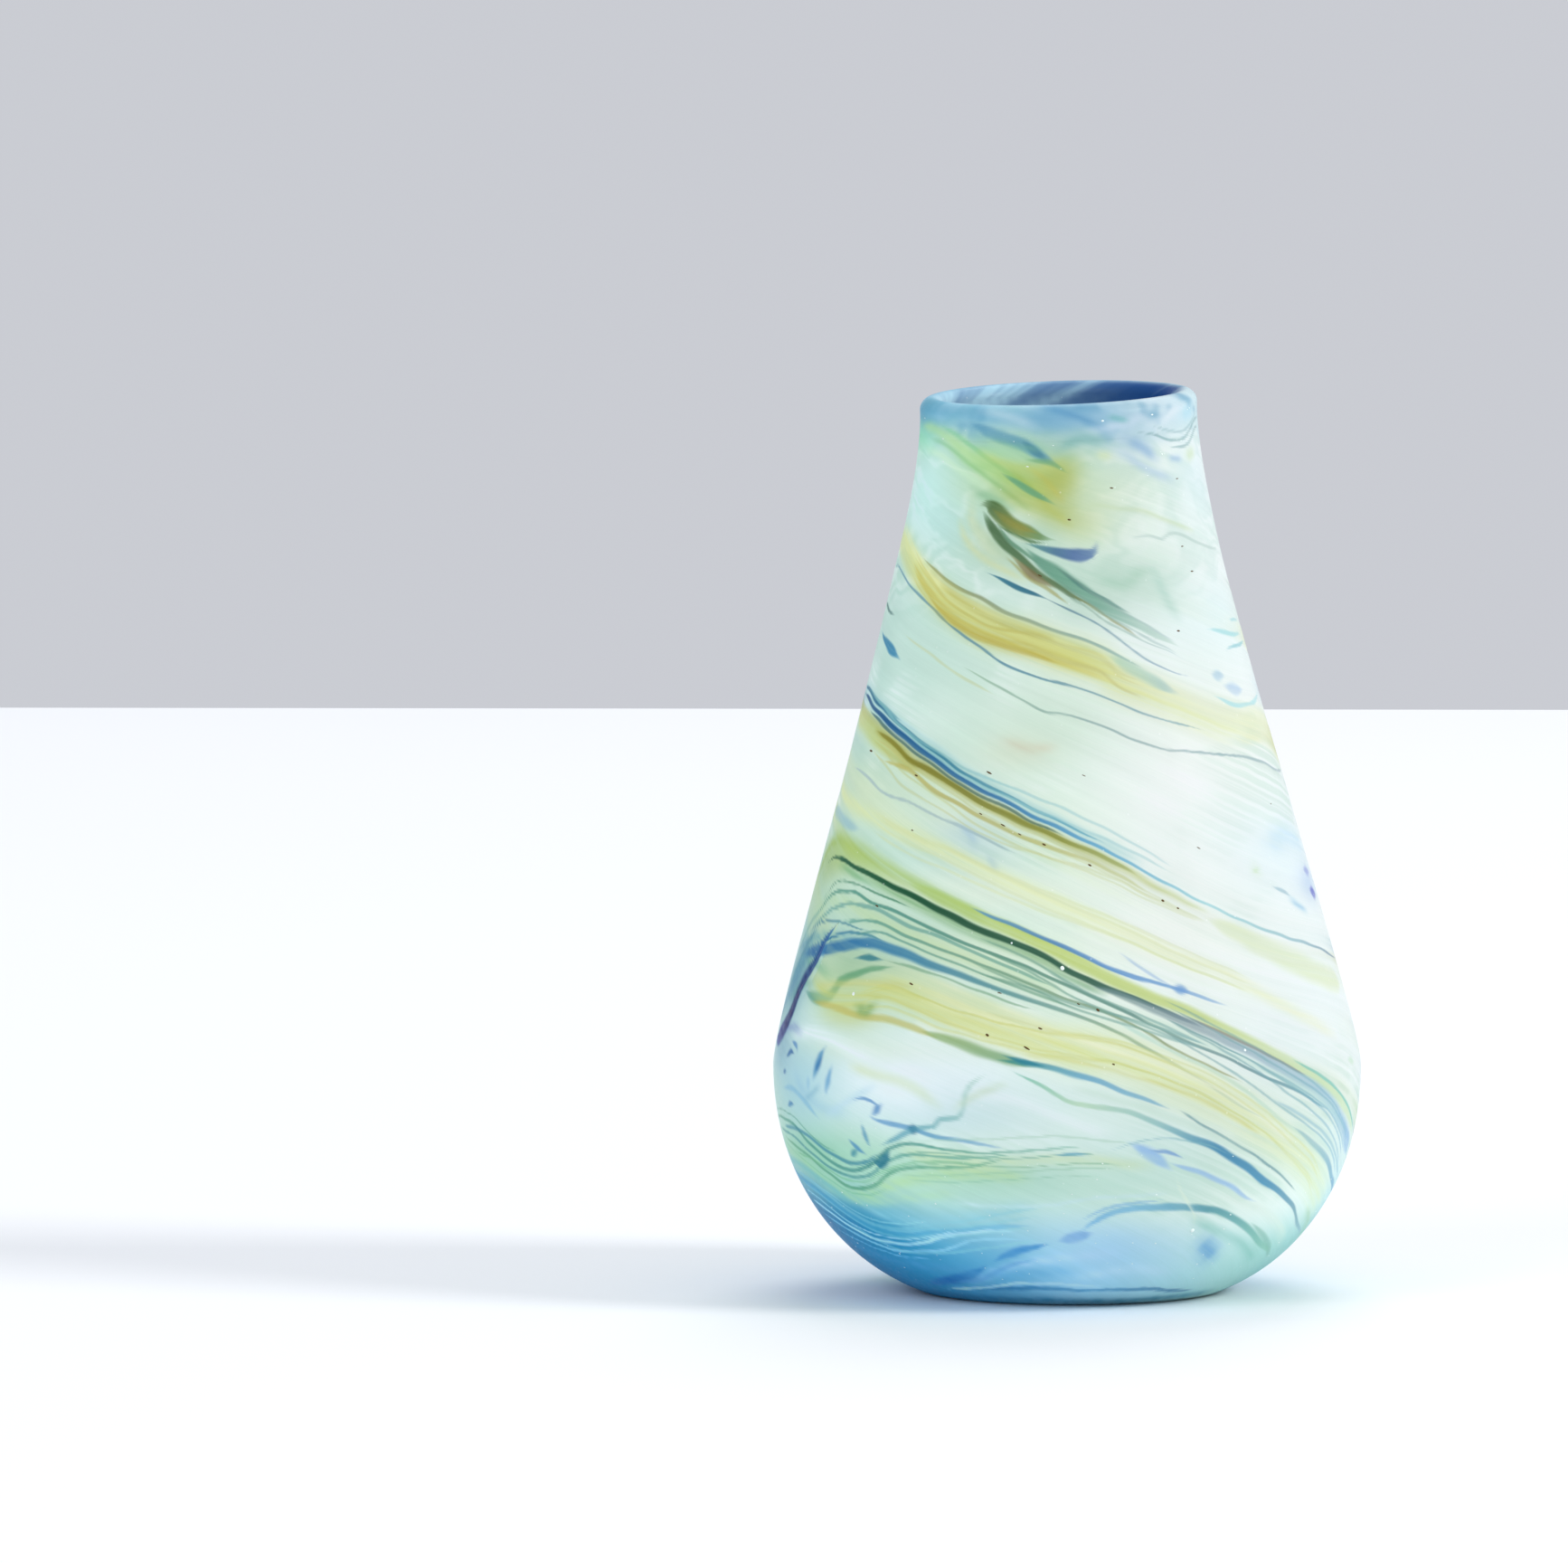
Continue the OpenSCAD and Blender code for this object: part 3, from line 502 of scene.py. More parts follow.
     (30.5, 68.8), (35, 67.2)], [0.35, 0.45, 0.35], [(90, 150, 190), (66, 120, 186), (96, 148, 206),
     (170, 200, 230)], 0.85, 0.45),
    ([(22.6, 71.6), (24.5, 71.3), (26.4, 70.8)], 1.1, (120, 164, 216), 0.85, 0.6),
    ([(11.3, 79.5), (17.7, 75.1), (23.3, 71.9)], 0.35, (170, 198, 228), 0.7, 0.6),
    ([(49.8, 54.8), (57.8, 50.8), (66, 46.4), (74, 41.4), (82, 36)], 0.35, (110, 196, 186), 0.8, 0.4),
    ([(5, 72.6), (9.7, 71.2), (17.7, 67.2), (25.7, 63.6), (33.7, 59.6), (41.8, 55.6), (49.8, 51.2),
     (57.8, 47.2), (65.8, 42), (73.8, 36.4), (82, 31)], [0.5, 1, 1.2, 1.5, 1.8], [(120, 150, 150),
     (146, 164, 172), (160, 190, 206), (162, 204, 226), (140, 184, 226)], 0.85, 0.6),
    ([(24, 65.6), (34, 60.8), (44, 55.8), (54, 50.6)], 0.35, (120, 108, 112), 0.6, 0.5),
    # the fan of teal lines
    ([(-78, 84), (-66, 88), (-54, 87.4), (-42, 84), (-28, 80), (-14, 75.6), (0, 70.4)], 2.6,
     [(176, 210, 176), (196, 220, 164), (206, 226, 168), (204, 228, 184)], 0.6, 0.85),
    ([(-82, 76), (-72, 79), (-60, 80.6), (-48, 80.4)], 1.5, [(70, 136, 164), (110, 168, 172),
     (160, 200, 190)], 0.65, 0.85),
    ([(-80, 70), (-74, 73.6), (-66, 73.6), (-58, 72)], 1.4, [(70, 140, 150), (110, 170, 150),
     (150, 196, 150)], 0.65, 0.85),
    ([(-72, 87.4), (-66, 91.8), (-58, 92.4), (-48, 90.6), (-36, 87.6)], 0.19, (70, 130, 100), 0.8, 0.5),
    ([(-77, 79.6), (-71, 82.4), (-64, 83.8), (-56, 83.4), (-48, 82.6)], 0.26, [(50, 110, 140),
     (80, 140, 150)], 0.85, 0.45),
    ([(-70, 77.6), (-63, 79.8), (-56, 81.6), (-49, 81.8), (-42, 80.6)], 0.34, [(30, 92, 146),
     (44, 112, 150), (90, 150, 150)], 0.85, 0.5),
    ([(-74.8, 81.1), (-72, 85.5), (-67, 89.1), (-61.6, 90.3), (-56, 90.5), (-49.6, 88.7), (-43, 87.5),
     (-36, 85.5), (-24, 81.9), (-12, 77.9), (0, 72.7), (9.7, 68), (17.7, 63.6), (25.7, 59.2), (32, 56.4),
     (37, 53.6), (43.4, 50.8), (49.8, 48.4), (56, 45.2), (62.6, 42)], [0.34, 0.34, 0.3], [(70, 140, 120),
     (66, 132, 118), (80, 130, 112), (90, 130, 134), (110, 170, 190)], 0.85, 0.4),
    ([(-74.8, 81.5), (-69.6, 83.9), (-64.8, 86.3), (-58.4, 87.8), (-52, 87.9), (-45.5, 87), (-36, 83.9),
     (-28, 82.3), (-14, 77.2), (-2, 72)], [0.42, 0.42, 0.3], [(96, 156, 150), (104, 160, 150),
     (120, 170, 150)], 0.8, 0.4),
    ([(-60.8, 83.5), (-54.4, 84.3), (-48, 84.9), (-41.5, 83.5), (-35, 81.5), (-24, 78.7), (-12, 74.7),
     (0, 69.6), (6.5, 67.2), (13.7, 63.6), (21.7, 58.4), (29.7, 53.6), (36, 50.4)],
     [0.3, 0.34, 0.3, 0.26], [(80, 150, 140), (84, 140, 124), (110, 140, 104), (150, 150, 100)],
     0.8, 0.4),
    ([(-52.8, 81.5), (-44.7, 82.5), (-38.3, 81.1), (-32, 79.1), (-20, 75.6), (-8, 71.4), (2, 67.4)], 0.27,
     [(84, 146, 140), (116, 160, 130)], 0.75, 0.4),
    ([(-78.4, 75.1), (-72, 75.9), (-64.8, 77.1), (-58.4, 78.3), (-52, 79.5), (-45.5, 79.9), (-38.3, 78.7),
     (-30.3, 76.3), (-20, 73.5), (-8, 69.6), (1.7, 66), (9.7, 62.4), (17.7, 57.6), (25.7, 52),
     (33.7, 46.4), (41.8, 42.4)], [1.4, 1.3, 1, 0.5, 0.35, 0.3, 0.3], [(24, 84, 148), (30, 98, 158),
     (50, 118, 158), (80, 138, 144), (110, 150, 130), (140, 170, 150), (150, 190, 190)], 0.88, 0.5),
    ([(-81.6, 68.8), (-77.6, 74.3), (-74.4, 78.3), (-70, 82)], 0.9, (70, 130, 150), 0.75, 0.6),
    ([(-84, 74), (-80, 79), (-76, 83), (-70, 86.6)], 0.51, (96, 156, 150), 0.7, 0.6),
    ([(-51.2, 76.1), (-46.3, 76.7), (-41.5, 76.6)], [0.4, 0.8, 0.4], (40, 112, 130), 0.9, 0.5),
    ([(-41.5, 76.6), (-30, 74.4), (-18, 71), (-6, 67)], 0.27, (120, 164, 130), 0.7, 0.4),
    ([(-68.8, 68), (-61.6, 66.8), (-56.8, 68), (-54.4, 71.1), (-49.5, 72.7), (-44.7, 74.3),
     (-38.3, 75.1)], [0.8, 1.4, 1.1, 0.7, 0.5], [(60, 132, 130), (84, 150, 104), (90, 152, 116)],
     0.8, 0.6),
    ([(-83, 68), (-78, 72.7), (-72, 77.5)], 1.4, (90, 160, 170), 0.6, 0.8),
    ([(-78, 66), (-72, 68.6), (-66, 70)], 1.2, (96, 158, 150), 0.6, 0.8),
    ([(9.7, 64.8), (21.7, 57.6), (33.7, 50.4), (45.8, 42.4), (53, 38.4), (57.8, 36)], 0.42,
     (186, 224, 216), 0.7, 0.6),
    ([(14, 66), (26, 60.4), (38, 54.8), (50, 49.6), (62, 43.4), (74, 36.2)], 0.9, [(208, 232, 210),
     (190, 224, 226)], 0.6, 0.7),
    ([(50, 40.4), (59.4, 34.8), (65.8, 31.2), (72.2, 27.2), (78.6, 24.8), (85, 22)], [0.4, 0.7, 0.6],
     [(130, 180, 200), (104, 160, 198)], 0.85, 0.45),
    ([(44, 46.6), (54, 41.6), (64, 36), (74, 29.6), (82, 25.6)], 0.34, (150, 196, 214), 0.7, 0.5),
    # the yellow trail
    (YELLOW_BAND, [2.6, 3.4, 4, 4.6, 5, 4.8, 4.2], [(196, 208, 128), (206, 212, 132), (222, 226, 150),
     (228, 234, 164), (234, 240, 188), (232, 242, 206), (220, 240, 210)], 0.85, 0.8),
    ([(-64, 66), (-54.4, 65.6), (-44.7, 64), (-36.7, 63.6), (-26, 60.6)], 0.7, [(196, 184, 96),
     (190, 184, 96)], 0.7, 0.7),
    ([(-47, 66), (-44, 65.2), (-42, 66.6)], 1.4, (120, 160, 90), 0.7, 0.8),
    ([(-62, 69.6), (-54, 70.6), (-44, 71.4), (-34, 70.8)], 0.9, (206, 206, 130), 0.6, 0.8),
    ([(-30, 61.8), (-24, 60.4), (-18, 58.4), (-12, 56.4), (-6, 55.2)], [0.8, 1.1, 0.8], [(140, 168, 90),
     (96, 150, 104)], 0.75, 0.7),
    ([(-16, 66.4), (-4, 62.8), (10, 59.8), (22, 55)], 0.4, (204, 202, 120), 0.4, 0.8),
    ([(-8, 57.6), (4, 55.6), (16, 51.8), (28, 46.6), (40, 39.6)], 0.5, (214, 212, 128), 0.45, 0.8),
    ([(-30, 68.6), (-16, 65), (-2, 61.6), (12, 58.6), (24, 53.4)], 1.2, (240, 244, 206), 0.5, 0.85),
    ([(2, 60.4), (14, 57), (26, 51.4), (38, 44.6), (50, 37)], 0.8, (248, 250, 232), 0.5, 0.85),
    # blue lines under it
    ([(-14, 56.1), (-8, 55.8), (-1.5, 54.4), (5, 52.4), (8, 51.2), (13.7, 48.4), (20, 46)],
     [0.5, 0.65, 0.4], [(60, 140, 130), (104, 166, 200), (140, 188, 210)], 0.9, 0.5),
    ([(-13, 57.2), (-9, 56.2), (-4, 55)], [0.3, 0.5, 0.2], (50, 128, 150), 0.8, 0.5),
    ([(-11, 54.4), (-3, 50), (1.7, 47.2), (9.7, 46), (16, 43.6), (22.5, 40.4), (27.3, 38.4), (33.7, 34.8),
     (38.5, 32), (43.4, 28.8), (49.8, 25.6), (56, 22.4), (62.6, 18.4), (68, 16), (77, 13.2)],
     [0.3, 0.5, 0.6, 0.9, 0.8, 0.4, 0.4], [(120, 190, 170), (190, 222, 190), (150, 196, 196),
     (60, 130, 176), (70, 140, 180), (110, 154, 170), (150, 196, 206)], 0.92, 0.4),
    ([(21.7, 45.6), (28, 41.6), (33.7, 38), (39.3, 34.8), (45.8, 31.2), (51.4, 28), (56, 25.2)], 0.3,
     (120, 160, 166), 0.8, 0.4),
    ([(2, 50.6), (14, 46.4), (26, 41.4), (38, 35.4)], 0.9, (206, 230, 214), 0.5, 0.8),
    # brush marks of the lower left
    ([(-70, 58.4), (-60, 59.6), (-50, 58), (-40, 55.4)], 1.8, (236, 247, 248), 0.7, 0.8),
    ([(-46, 53.6), (-38, 52), (-31, 50), (-26, 46.4)], 1.4, [(214, 226, 176), (206, 226, 190)], 0.6, 0.8),
    ([(-66, 50), (-62, 46), (-56, 43.6), (-48, 43)], 1.6, [(150, 194, 214), (176, 212, 222)], 0.6, 0.8),
    ([(-54, 42), (-46, 46.4), (-40, 49.6)], 1.0, (190, 220, 232), 0.6, 0.8),
    ([(-20, 50), (-10, 48), (0, 43.6), (8, 41)], 1.6, (242, 250, 252), 0.6, 0.8),
    ([(-34, 36), (-26, 33.6), (-14, 32)], 1.6, (206, 222, 170), 0.5, 0.8),
    ([(-64, 25.6), (-50, 23.4), (-38, 24.6), (-24, 27)], 1.4, (176, 214, 176), 0.5, 0.85),
    ([(-58.6, 49), (-57.2, 52.4), (-56.4, 55), (-54.6, 57.6)], [0.8, 1.1, 1.0, 0.5], [(110, 168, 200),
     (66, 130, 178), (84, 144, 188)], 0.9, 0.6),
    ([(-57.6, 51), (-55.4, 55.4)], 0.6, (40, 100, 158), 0.7, 0.6),
    ([(-54.4, 46), (-53, 50), (-52, 54)], [0.4, 0.8, 0.4], (92, 152, 198), 0.85, 0.6),
    ([(-60.6, 46.6), (-60, 50.6)], 0.6, (140, 188, 214), 0.7, 0.7),
    ([(-72, 53), (-69.6, 54.6), (-67.4, 54.2)], [0.5, 0.7, 0.4], (40, 90, 150), 0.9, 0.5),
    ([(-73, 49.6), (-71, 50.4)], 0.5, (40, 90, 150), 0.85, 0.5),
    ([(-70, 57), (-67, 56.2), (-66, 54.6)], 0.5, (80, 130, 184), 0.8, 0.6),
    ([(-72, 42), (-69.6, 43), (-67.6, 42.6)], [0.4, 0.6, 0.3], (50, 112, 164), 0.85, 0.5),
    ([(-74, 46), (-68, 46.6), (-62, 44), (-57, 40.6)], 0.7, (120, 176, 206), 0.6, 0.7),
    ([(-49, 37.6), (-46.6, 35.4), (-44, 34)], [0.3, 0.6, 0.3], (60, 124, 176), 0.8, 0.7),
    ([(-44, 41.4), (-43.4, 38), (-42.6, 35.4)], [0.3, 0.6, 0.4], (64, 128, 172), 0.8, 0.6),
    ([(-46, 46), (-42.6, 46.8), (-39.6, 45.6), (-40.4, 43.6)], 0.4, (84, 136, 190), 0.8, 0.5),
    ([(-62, 44.6), (-58, 47), (-56, 48.6)], 0.8, (130, 180, 200), 0.6, 0.8),
    ([(-41, 42.6), (-39.4, 44.4), (-37.8, 46)], [0.5, 0.8, 0.4], (84, 134, 190), 0.85, 0.6),
    ([(-42, 43), (-40, 42), (-32, 40.8), (-27, 39.2), (-19, 38.4), (-12, 37.2)], [0.6, 0.5, 0.3],
     [(100, 150, 200), (90, 150, 190), (150, 190, 216)], 0.85, 0.5),
    ([(-32.4, 40.8), (-30, 40.2)], 1.1, (46, 104, 140), 0.9, 0.5),
    ([(-40, 36), (-35, 38.4), (-31, 40.6), (-27, 41.4), (-25.6, 43.2), (-21.8, 43.8), (-20.4, 46),
     (-20, 49), (-18.6, 51.6), (-15.6, 53.6)], [0.4, 0.6, 0.7, 0.45, 0.6, 0.4, 0.5, 0.4], [(70, 140, 160),
     (90, 156, 176), (120, 178, 180), (160, 204, 196), (184, 218, 200)], 0.8, 0.5),
    ([(-22, 46), (-18, 49), (-12, 51.4)], 1.0, (204, 224, 196), 0.6, 0.8),
    ([(12, 39.2), (14.5, 37.6), (17.7, 34.8), (20.9, 32)], 1.3, (150, 190, 236), 0.85, 0.7),
    ([(15.3, 36.8), (19.3, 36.6), (23.3, 34.8)], 0.4, (116, 156, 212), 0.8, 0.5),
    ([(20, 34), (23.3, 32.8), (29.7, 30.4), (35.3, 28), (40, 25.2), (43.4, 24)], [0.5, 0.6, 0.4],
     (150, 190, 235), 0.8, 0.6),
    # green and teal waves near the base
    ([(-84, 33), (-70, 30.4), (-58, 26.6), (-48, 25), (-38, 28), (-24, 31), (-8, 31)], 1.8,
     [(150, 204, 160), (176, 214, 150), (190, 220, 160)], 0.55, 0.85),
    ([(-30, 35.4), (-14, 34.4), (2, 35), (16, 33.4)], 1.6, (208, 226, 176), 0.5, 0.85),
    ([(-86, 40.4), (-76, 41), (-68, 39.6), (-60, 36), (-52, 33.6)], 0.15, (80, 150, 130), 0.75, 0.5),
    ([(-82, 34), (-72, 31.8), (-62, 28.4), (-54, 25.6), (-47, 25), (-40, 27)], 0.17, (120, 184, 150),
     0.7, 0.5),
    ([(-38, 34), (-28, 35.6), (-16, 34.8), (-4, 35.6), (8, 36.6)], 0.14, (110, 170, 150), 0.7, 0.5),
    ([(-36, 32), (-24, 33.4), (-10, 33), (4, 34), (14, 33.6)], 0.14, (130, 184, 150), 0.65, 0.5),
    ([(-34, 29), (-20, 29.4), (-6, 30.6), (6, 31)], 0.14, (140, 196, 170), 0.6, 0.5),
    ([(8, 36.8), (16, 39.6), (26, 38.4), (34, 35)], 0.17, (140, 190, 200), 0.65, 0.5),
    ([(-88, 38.4), (-80, 39.2), (-70.4, 38.4), (-64, 35.2), (-57.6, 32.4), (-52, 30.4), (-46.3, 30.8),
     (-41.5, 32.8), (-38.3, 35.2), (-32, 37.2), (-20, 36), (-6, 37), (4, 38)],
     [0.28, 0.39, 0.42, 0.24, 0.21], [(90, 160, 130), (60, 136, 120), (50, 120, 120), (90, 160, 140),
     (150, 200, 180)], 0.85, 0.45),
    ([(-84, 36.6), (-72, 35.8), (-64, 33), (-56, 29.9), (-50, 28.9), (-44, 29.6), (-39, 32.6),
     (-32, 34.8), (-22, 34.6), (-10, 36)], [0.28, 0.35, 0.24], [(80, 150, 150), (60, 130, 130),
     (120, 184, 160)], 0.8, 0.45),
    ([(-80, 35.2), (-68, 32.8), (-60, 29.6), (-53.6, 26.8), (-48, 26.4), (-43, 27.6), (-38.3, 30.4),
     (-32, 32), (-20, 32.8), (-12, 35.2)], [0.28, 0.42, 0.28], [(90, 160, 120), (70, 140, 110),
     (120, 180, 150)], 0.8, 0.45),
    ([(-78, 37.6), (-66, 37.2), (-58, 34.6), (-50, 32), (-44, 32.6), (-40, 34.8)], 0.42, [(50, 126, 150),
     (40, 112, 140)], 0.75, 0.6),
    ([(-74, 32.8), (-62, 31), (-54, 28.4), (-46, 28), (-40, 30.6), (-30, 33.4), (-16, 33.6)], 0.24,
     [(110, 176, 130), (130, 190, 150)], 0.7, 0.5),
    ([(-42.7, 33.2), (-40.7, 31.9), (-38.6, 33.8), (-37.4, 35.6)], 1.1, (38, 108, 132), 0.92, 0.5),
    ([(-49, 33.4), (-46.6, 35)], 0.7, (60, 130, 150), 0.8, 0.6),
    ([(-36, 30), (-20, 31), (-2, 32.6), (10, 33)], 0.21, (150, 200, 170), 0.6, 0.5),
    ([(-3, 35.6), (2, 36.2), (5, 36)], 0.35, (90, 160, 190), 0.8, 0.6),
    ([(-30, 38), (-14, 39.4), (0, 40), (14, 38.6)], 0.21, (176, 212, 190), 0.6, 0.5),
    # blue water of the base
    ([(-50, 22), (-36, 19.6), (-22, 21.4), (-8, 24)], 1.6, (150, 204, 214), 0.5, 0.85),
    ([(-30, 6), (-16, 9.6), (-2, 12.4), (12, 13.6)], 1.4, (186, 216, 240), 0.6, 0.85),
    ([(2, 8), (16, 9.6), (28, 8.4)], 1.4, (200, 226, 244), 0.5, 0.85),
    ([(-84, 30), (-72, 29.4), (-62, 26.4), (-54, 22.6)], 1.1, (100, 176, 186), 0.6, 0.8),
    ([(34, 26), (44, 22.4), (54, 18), (64, 13)], 1.2, (222, 238, 226), 0.6, 0.85),
    ([(44, 19), (54, 14.4), (64, 9.6)], 0.5, (120, 176, 160), 0.6, 0.6),
    ([(66, 20), (74, 16), (82, 12)], 1.0, (150, 196, 160), 0.5, 0.85),
    ([(-88, 27), (-79, 26), (-68, 24), (-60, 20.8), (-52, 17.6), (-43, 16.4), (-32, 17.6), (-20, 19.2),
     (-8, 20)], [0.9, 0.7, 0.5], [(60, 146, 184), (70, 156, 190), (130, 190, 216)], 0.8, 0.6),
    ([(1.7, 18.4), (6.5, 21.6), (12, 23.6), (19.3, 24), (28, 23.2), (33.7, 22), (40, 19.6), (46.6, 16.4),
     (53, 13.6), (61, 11.2)], [0.5, 0.8, 0.8, 0.5], [(120, 180, 222), (110, 176, 214), (66, 138, 156),
     (100, 170, 160), (150, 205, 180)], 0.85, 0.5),
    ([(-78.4, 21.2), (-70.4, 20), (-61.6, 16.8), (-53.6, 14.4), (-44, 14), (-36, 14.8), (-28, 17.2),
     (-20, 18.4), (-11, 18.8)], 0.38, [(186, 226, 240), (200, 232, 244)], 0.8, 0.4),
    ([(-76, 18.8), (-66, 16.4), (-58, 13.8), (-50, 12.2), (-42, 12.4), (-32, 13.4), (-22, 16.4),
     (-10, 17)], 0.32, (160, 212, 232), 0.7, 0.4),
    ([(-50, 3.6), (-42, 4.8), (-34, 6), (-27, 8), (-21, 10.6)], [0.3, 0.8, 1.0, 0.9, 0.4],
     [(60, 126, 180), (36, 104, 168), (50, 120, 180)], 0.85, 0.7),
    ([(-36, 5), (-26, 6.6), (-16, 10), (-8, 12)], 0.5, (90, 150, 200), 0.6, 0.7),
    ([(-20, 11), (-14, 13.4), (-8, 15), (-4, 15.9)], [0.4, 0.9, 0.8, 0.4], (64, 134, 194), 0.85, 0.7),
    ([(-80, 23.4), (-70, 22), (-62, 18.6), (-54, 16), (-44, 15.2), (-34, 16.2), (-24, 19)], 0.16,
     (206, 236, 246), 0.7, 0.5),
    ([(-74, 15.4), (-64, 13.4), (-56, 11.6), (-46, 10.6), (-36, 11)], 0.18, (130, 196, 226), 0.7, 0.5),
    ([(-70, 26.6), (-60, 23.2), (-52, 20), (-42, 18.8), (-30, 20.4)], 0.18, (150, 208, 216), 0.7, 0.5),
    ([(-24, 24.6), (-8, 24), (6, 26), (20, 27)], 0.5, (206, 232, 236), 0.6, 0.8),
    ([(2, 21), (10, 24.4), (20, 25.6)], 0.3, (120, 176, 220), 0.7, 0.6),
    ([(-3, 16.4), (5.3, 18.4)], 1.2, (120, 165, 215), 0.8, 0.6),
    ([(-70, 12), (-54, 9), (-38, 9), (-20, 8), (0, 9)], 1.6, [(60, 140, 184), (110, 176, 214)], 0.5, 0.9),
    ([(32, 15.2), (36, 12.8), (38.5, 11.2)], 2.2, (112, 168, 214), 0.85, 0.8),
    ([(21.7, 31.2), (23.3, 27.2), (26.5, 23.2), (28, 20.8), (28.5, 17.6)], 0.3, (230, 244, 226),
     0.8, 0.4),
    ([(28, 20), (36, 17), (46, 13.6), (56, 9.6)], 1.2, (140, 200, 190), 0.6, 0.8),
    ([(-43, 2.8), (-19, 5.2), (-16, 5.8), (11, 5.6)], 0.35, (190, 222, 240), 0.8, 0.4),
    ([(-30, 3.4), (-14, 4.6), (0, 4.4), (11, 4.6), (25.7, 4.4), (33.7, 3.6), (44, 3)],
     [0.2, 0.5, 0.3, 0.45, 0.3], [(50, 116, 164), (70, 140, 184), (50, 104, 150)], 0.8, 0.5),
    ([(-60, 1.6), (-30, 1.4), (0, 1.2), (30, 1.4), (56, 1.8)], 0.9, [(40, 116, 160), (64, 140, 176),
     (90, 160, 180)], 0.7, 0.8),
    # the dark drip
    ([(-88, 60), (-82, 66), (-77, 71), (-72, 76)], 2.4, (84, 140, 170), 0.6, 0.8),
    ([(-78, 58), (-71, 60), (-66, 59)], 1.2, (110, 130, 184), 0.5, 0.8),
    (DRIP, [2.0, 2.4, 2.3, 1.9, 1.7, 1.5, 1.2, 0.9, 0.6], [(50, 66, 160), (22, 40, 124), (6, 20, 84),
     (4, 30, 92), (8, 48, 112), (22, 76, 140), (48, 110, 162)], 0.97, 0.35),
]

# Fine threads along one course each: points, lift of each thread in mm, half width,
# colours, strength.
SHEAVES = [
    (HOOK_TEAL[2:], (-1.6, -2.9, 1.7), 0.22, [(120, 150, 130), (156, 186, 174), (190, 212, 216)], 0.6),
    (AMBER_CORE[3:15], (2.4, 1.2, -0.9, -2.1, -3.2), 0.3, [(204, 194, 100), (196, 188, 100),
     (214, 214, 158)], 0.4),
    (COBALT_LINE[2:15], (3.5, 4.8), 0.28, [(120, 176, 180), (150, 200, 200), (190, 224, 226)]),
    (OLIVE_LINE, (-2.1, -3.2, -4.6, -6.0), 0.26, [(192, 192, 116), (200, 202, 136), (220, 228, 184)],
     0.45),
    (GREEN_LINE[8:], (-3.4, -5.2, -7.0, -8.8), 0.28, [(110, 156, 130), (120, 164, 150), (150, 190, 190)]),
    ([(20, 66.6), (29, 61.4), (38, 56.4), (47, 51.6), (56, 46.8), (66, 40.8), (76, 33.4)],
     (2.6, 1.2, -1.3, -2.8, -4.6, -6.4), 0.25, [(120, 160, 160), (130, 180, 190), (140, 190, 220)], 0.6),
    (YELLOW_BAND[2:15], (3.2, 1.8, -1.6, -3.0), 0.26, [(206, 208, 118), (214, 216, 132), (222, 230, 166)],
     0.4),
    ([(-54, 106.3), (-40, 102.7), (-27, 99.5), (-10, 93), (9.7, 85.1), (25.7, 77.9), (41.8, 70.7)],
     (1.8, 0.3, -1.7, -3.4), 0.3, [(214, 222, 160), (222, 230, 180)], 0.4),
    ([(-79, 26), (-68, 24), (-60, 20.8), (-52, 17.6), (-43, 16.4), (-32, 17.6), (-20, 19.2), (-6, 21)],
     (1.6, 3.0, -1.2, -4.4), 0.3, [(110, 180, 200), (150, 206, 214)], 0.6),
]


def threads(points, lifts, width, colours, strength=0.7):
    """Strokes that keep to one course, each a little above or below it."""
    strokes = []
    for k, lift in enumerate(lifts):
        course = [(p + 0.7 * math.sin(k * 2.1), z + lift * (0.75 + 0.35 * math.sin(0.05 * p + k)))
                  for p, z in points]
        strokes.append((course, width, colours, strength, 0.45))
    return strokes


for sheaf in SHEAVES:
    STROKES += threads(*sheaf)


def paint(phi, z, w):
    """Colour of the wall at each angle, height and swirl angle, as it looks, 0 to 255.

    Behind, past 150 degrees, the look fades into that of one turn less, so no seam shows."""
    rgb = paint_turn(phi, z, w)
    far = np.flatnonzero(phi > 150)
    if len(far):
        turn_less = paint_turn(phi[far] - 360, z[far], w[far] - 360)
        t = smooth(150, 178, phi[far])[:, None]
        rgb[far] = rgb[far] * (1 - t) + turn_less * t
    return rgb


# Colours all round the wall as the lamps light them, darker on the left as painted shade and whiter on
# the right as painted light: (angles, one colour for each)
GROUND_AS_LIT = ([-180, -110, -70, -35, 0, 35, 70, 110, 180],
          [(218, 238, 230), (202, 228, 216), (186, 218, 204), (206, 232, 216), (224, 242, 226),
           (242, 252, 242), (248, 254, 251), (236, 248, 246), (218, 238, 230)])
WATER = ([-180, -75, -45, -15, 0, 30, 60, 110, 180],
         [(92, 168, 200), (4, 102, 152), (34, 130, 176), (104, 172, 206), (148, 200, 226),
          (172, 220, 232), (170, 218, 216), (110, 180, 200), (92, 168, 200)])
RIM = ([-180, -60, -20, 10, 45, 80, 180],
       [(120, 178, 210), (90, 160, 192), (150, 198, 214), (132, 184, 212), (208, 230, 242),
        (208, 236, 244), (120, 178, 210)])


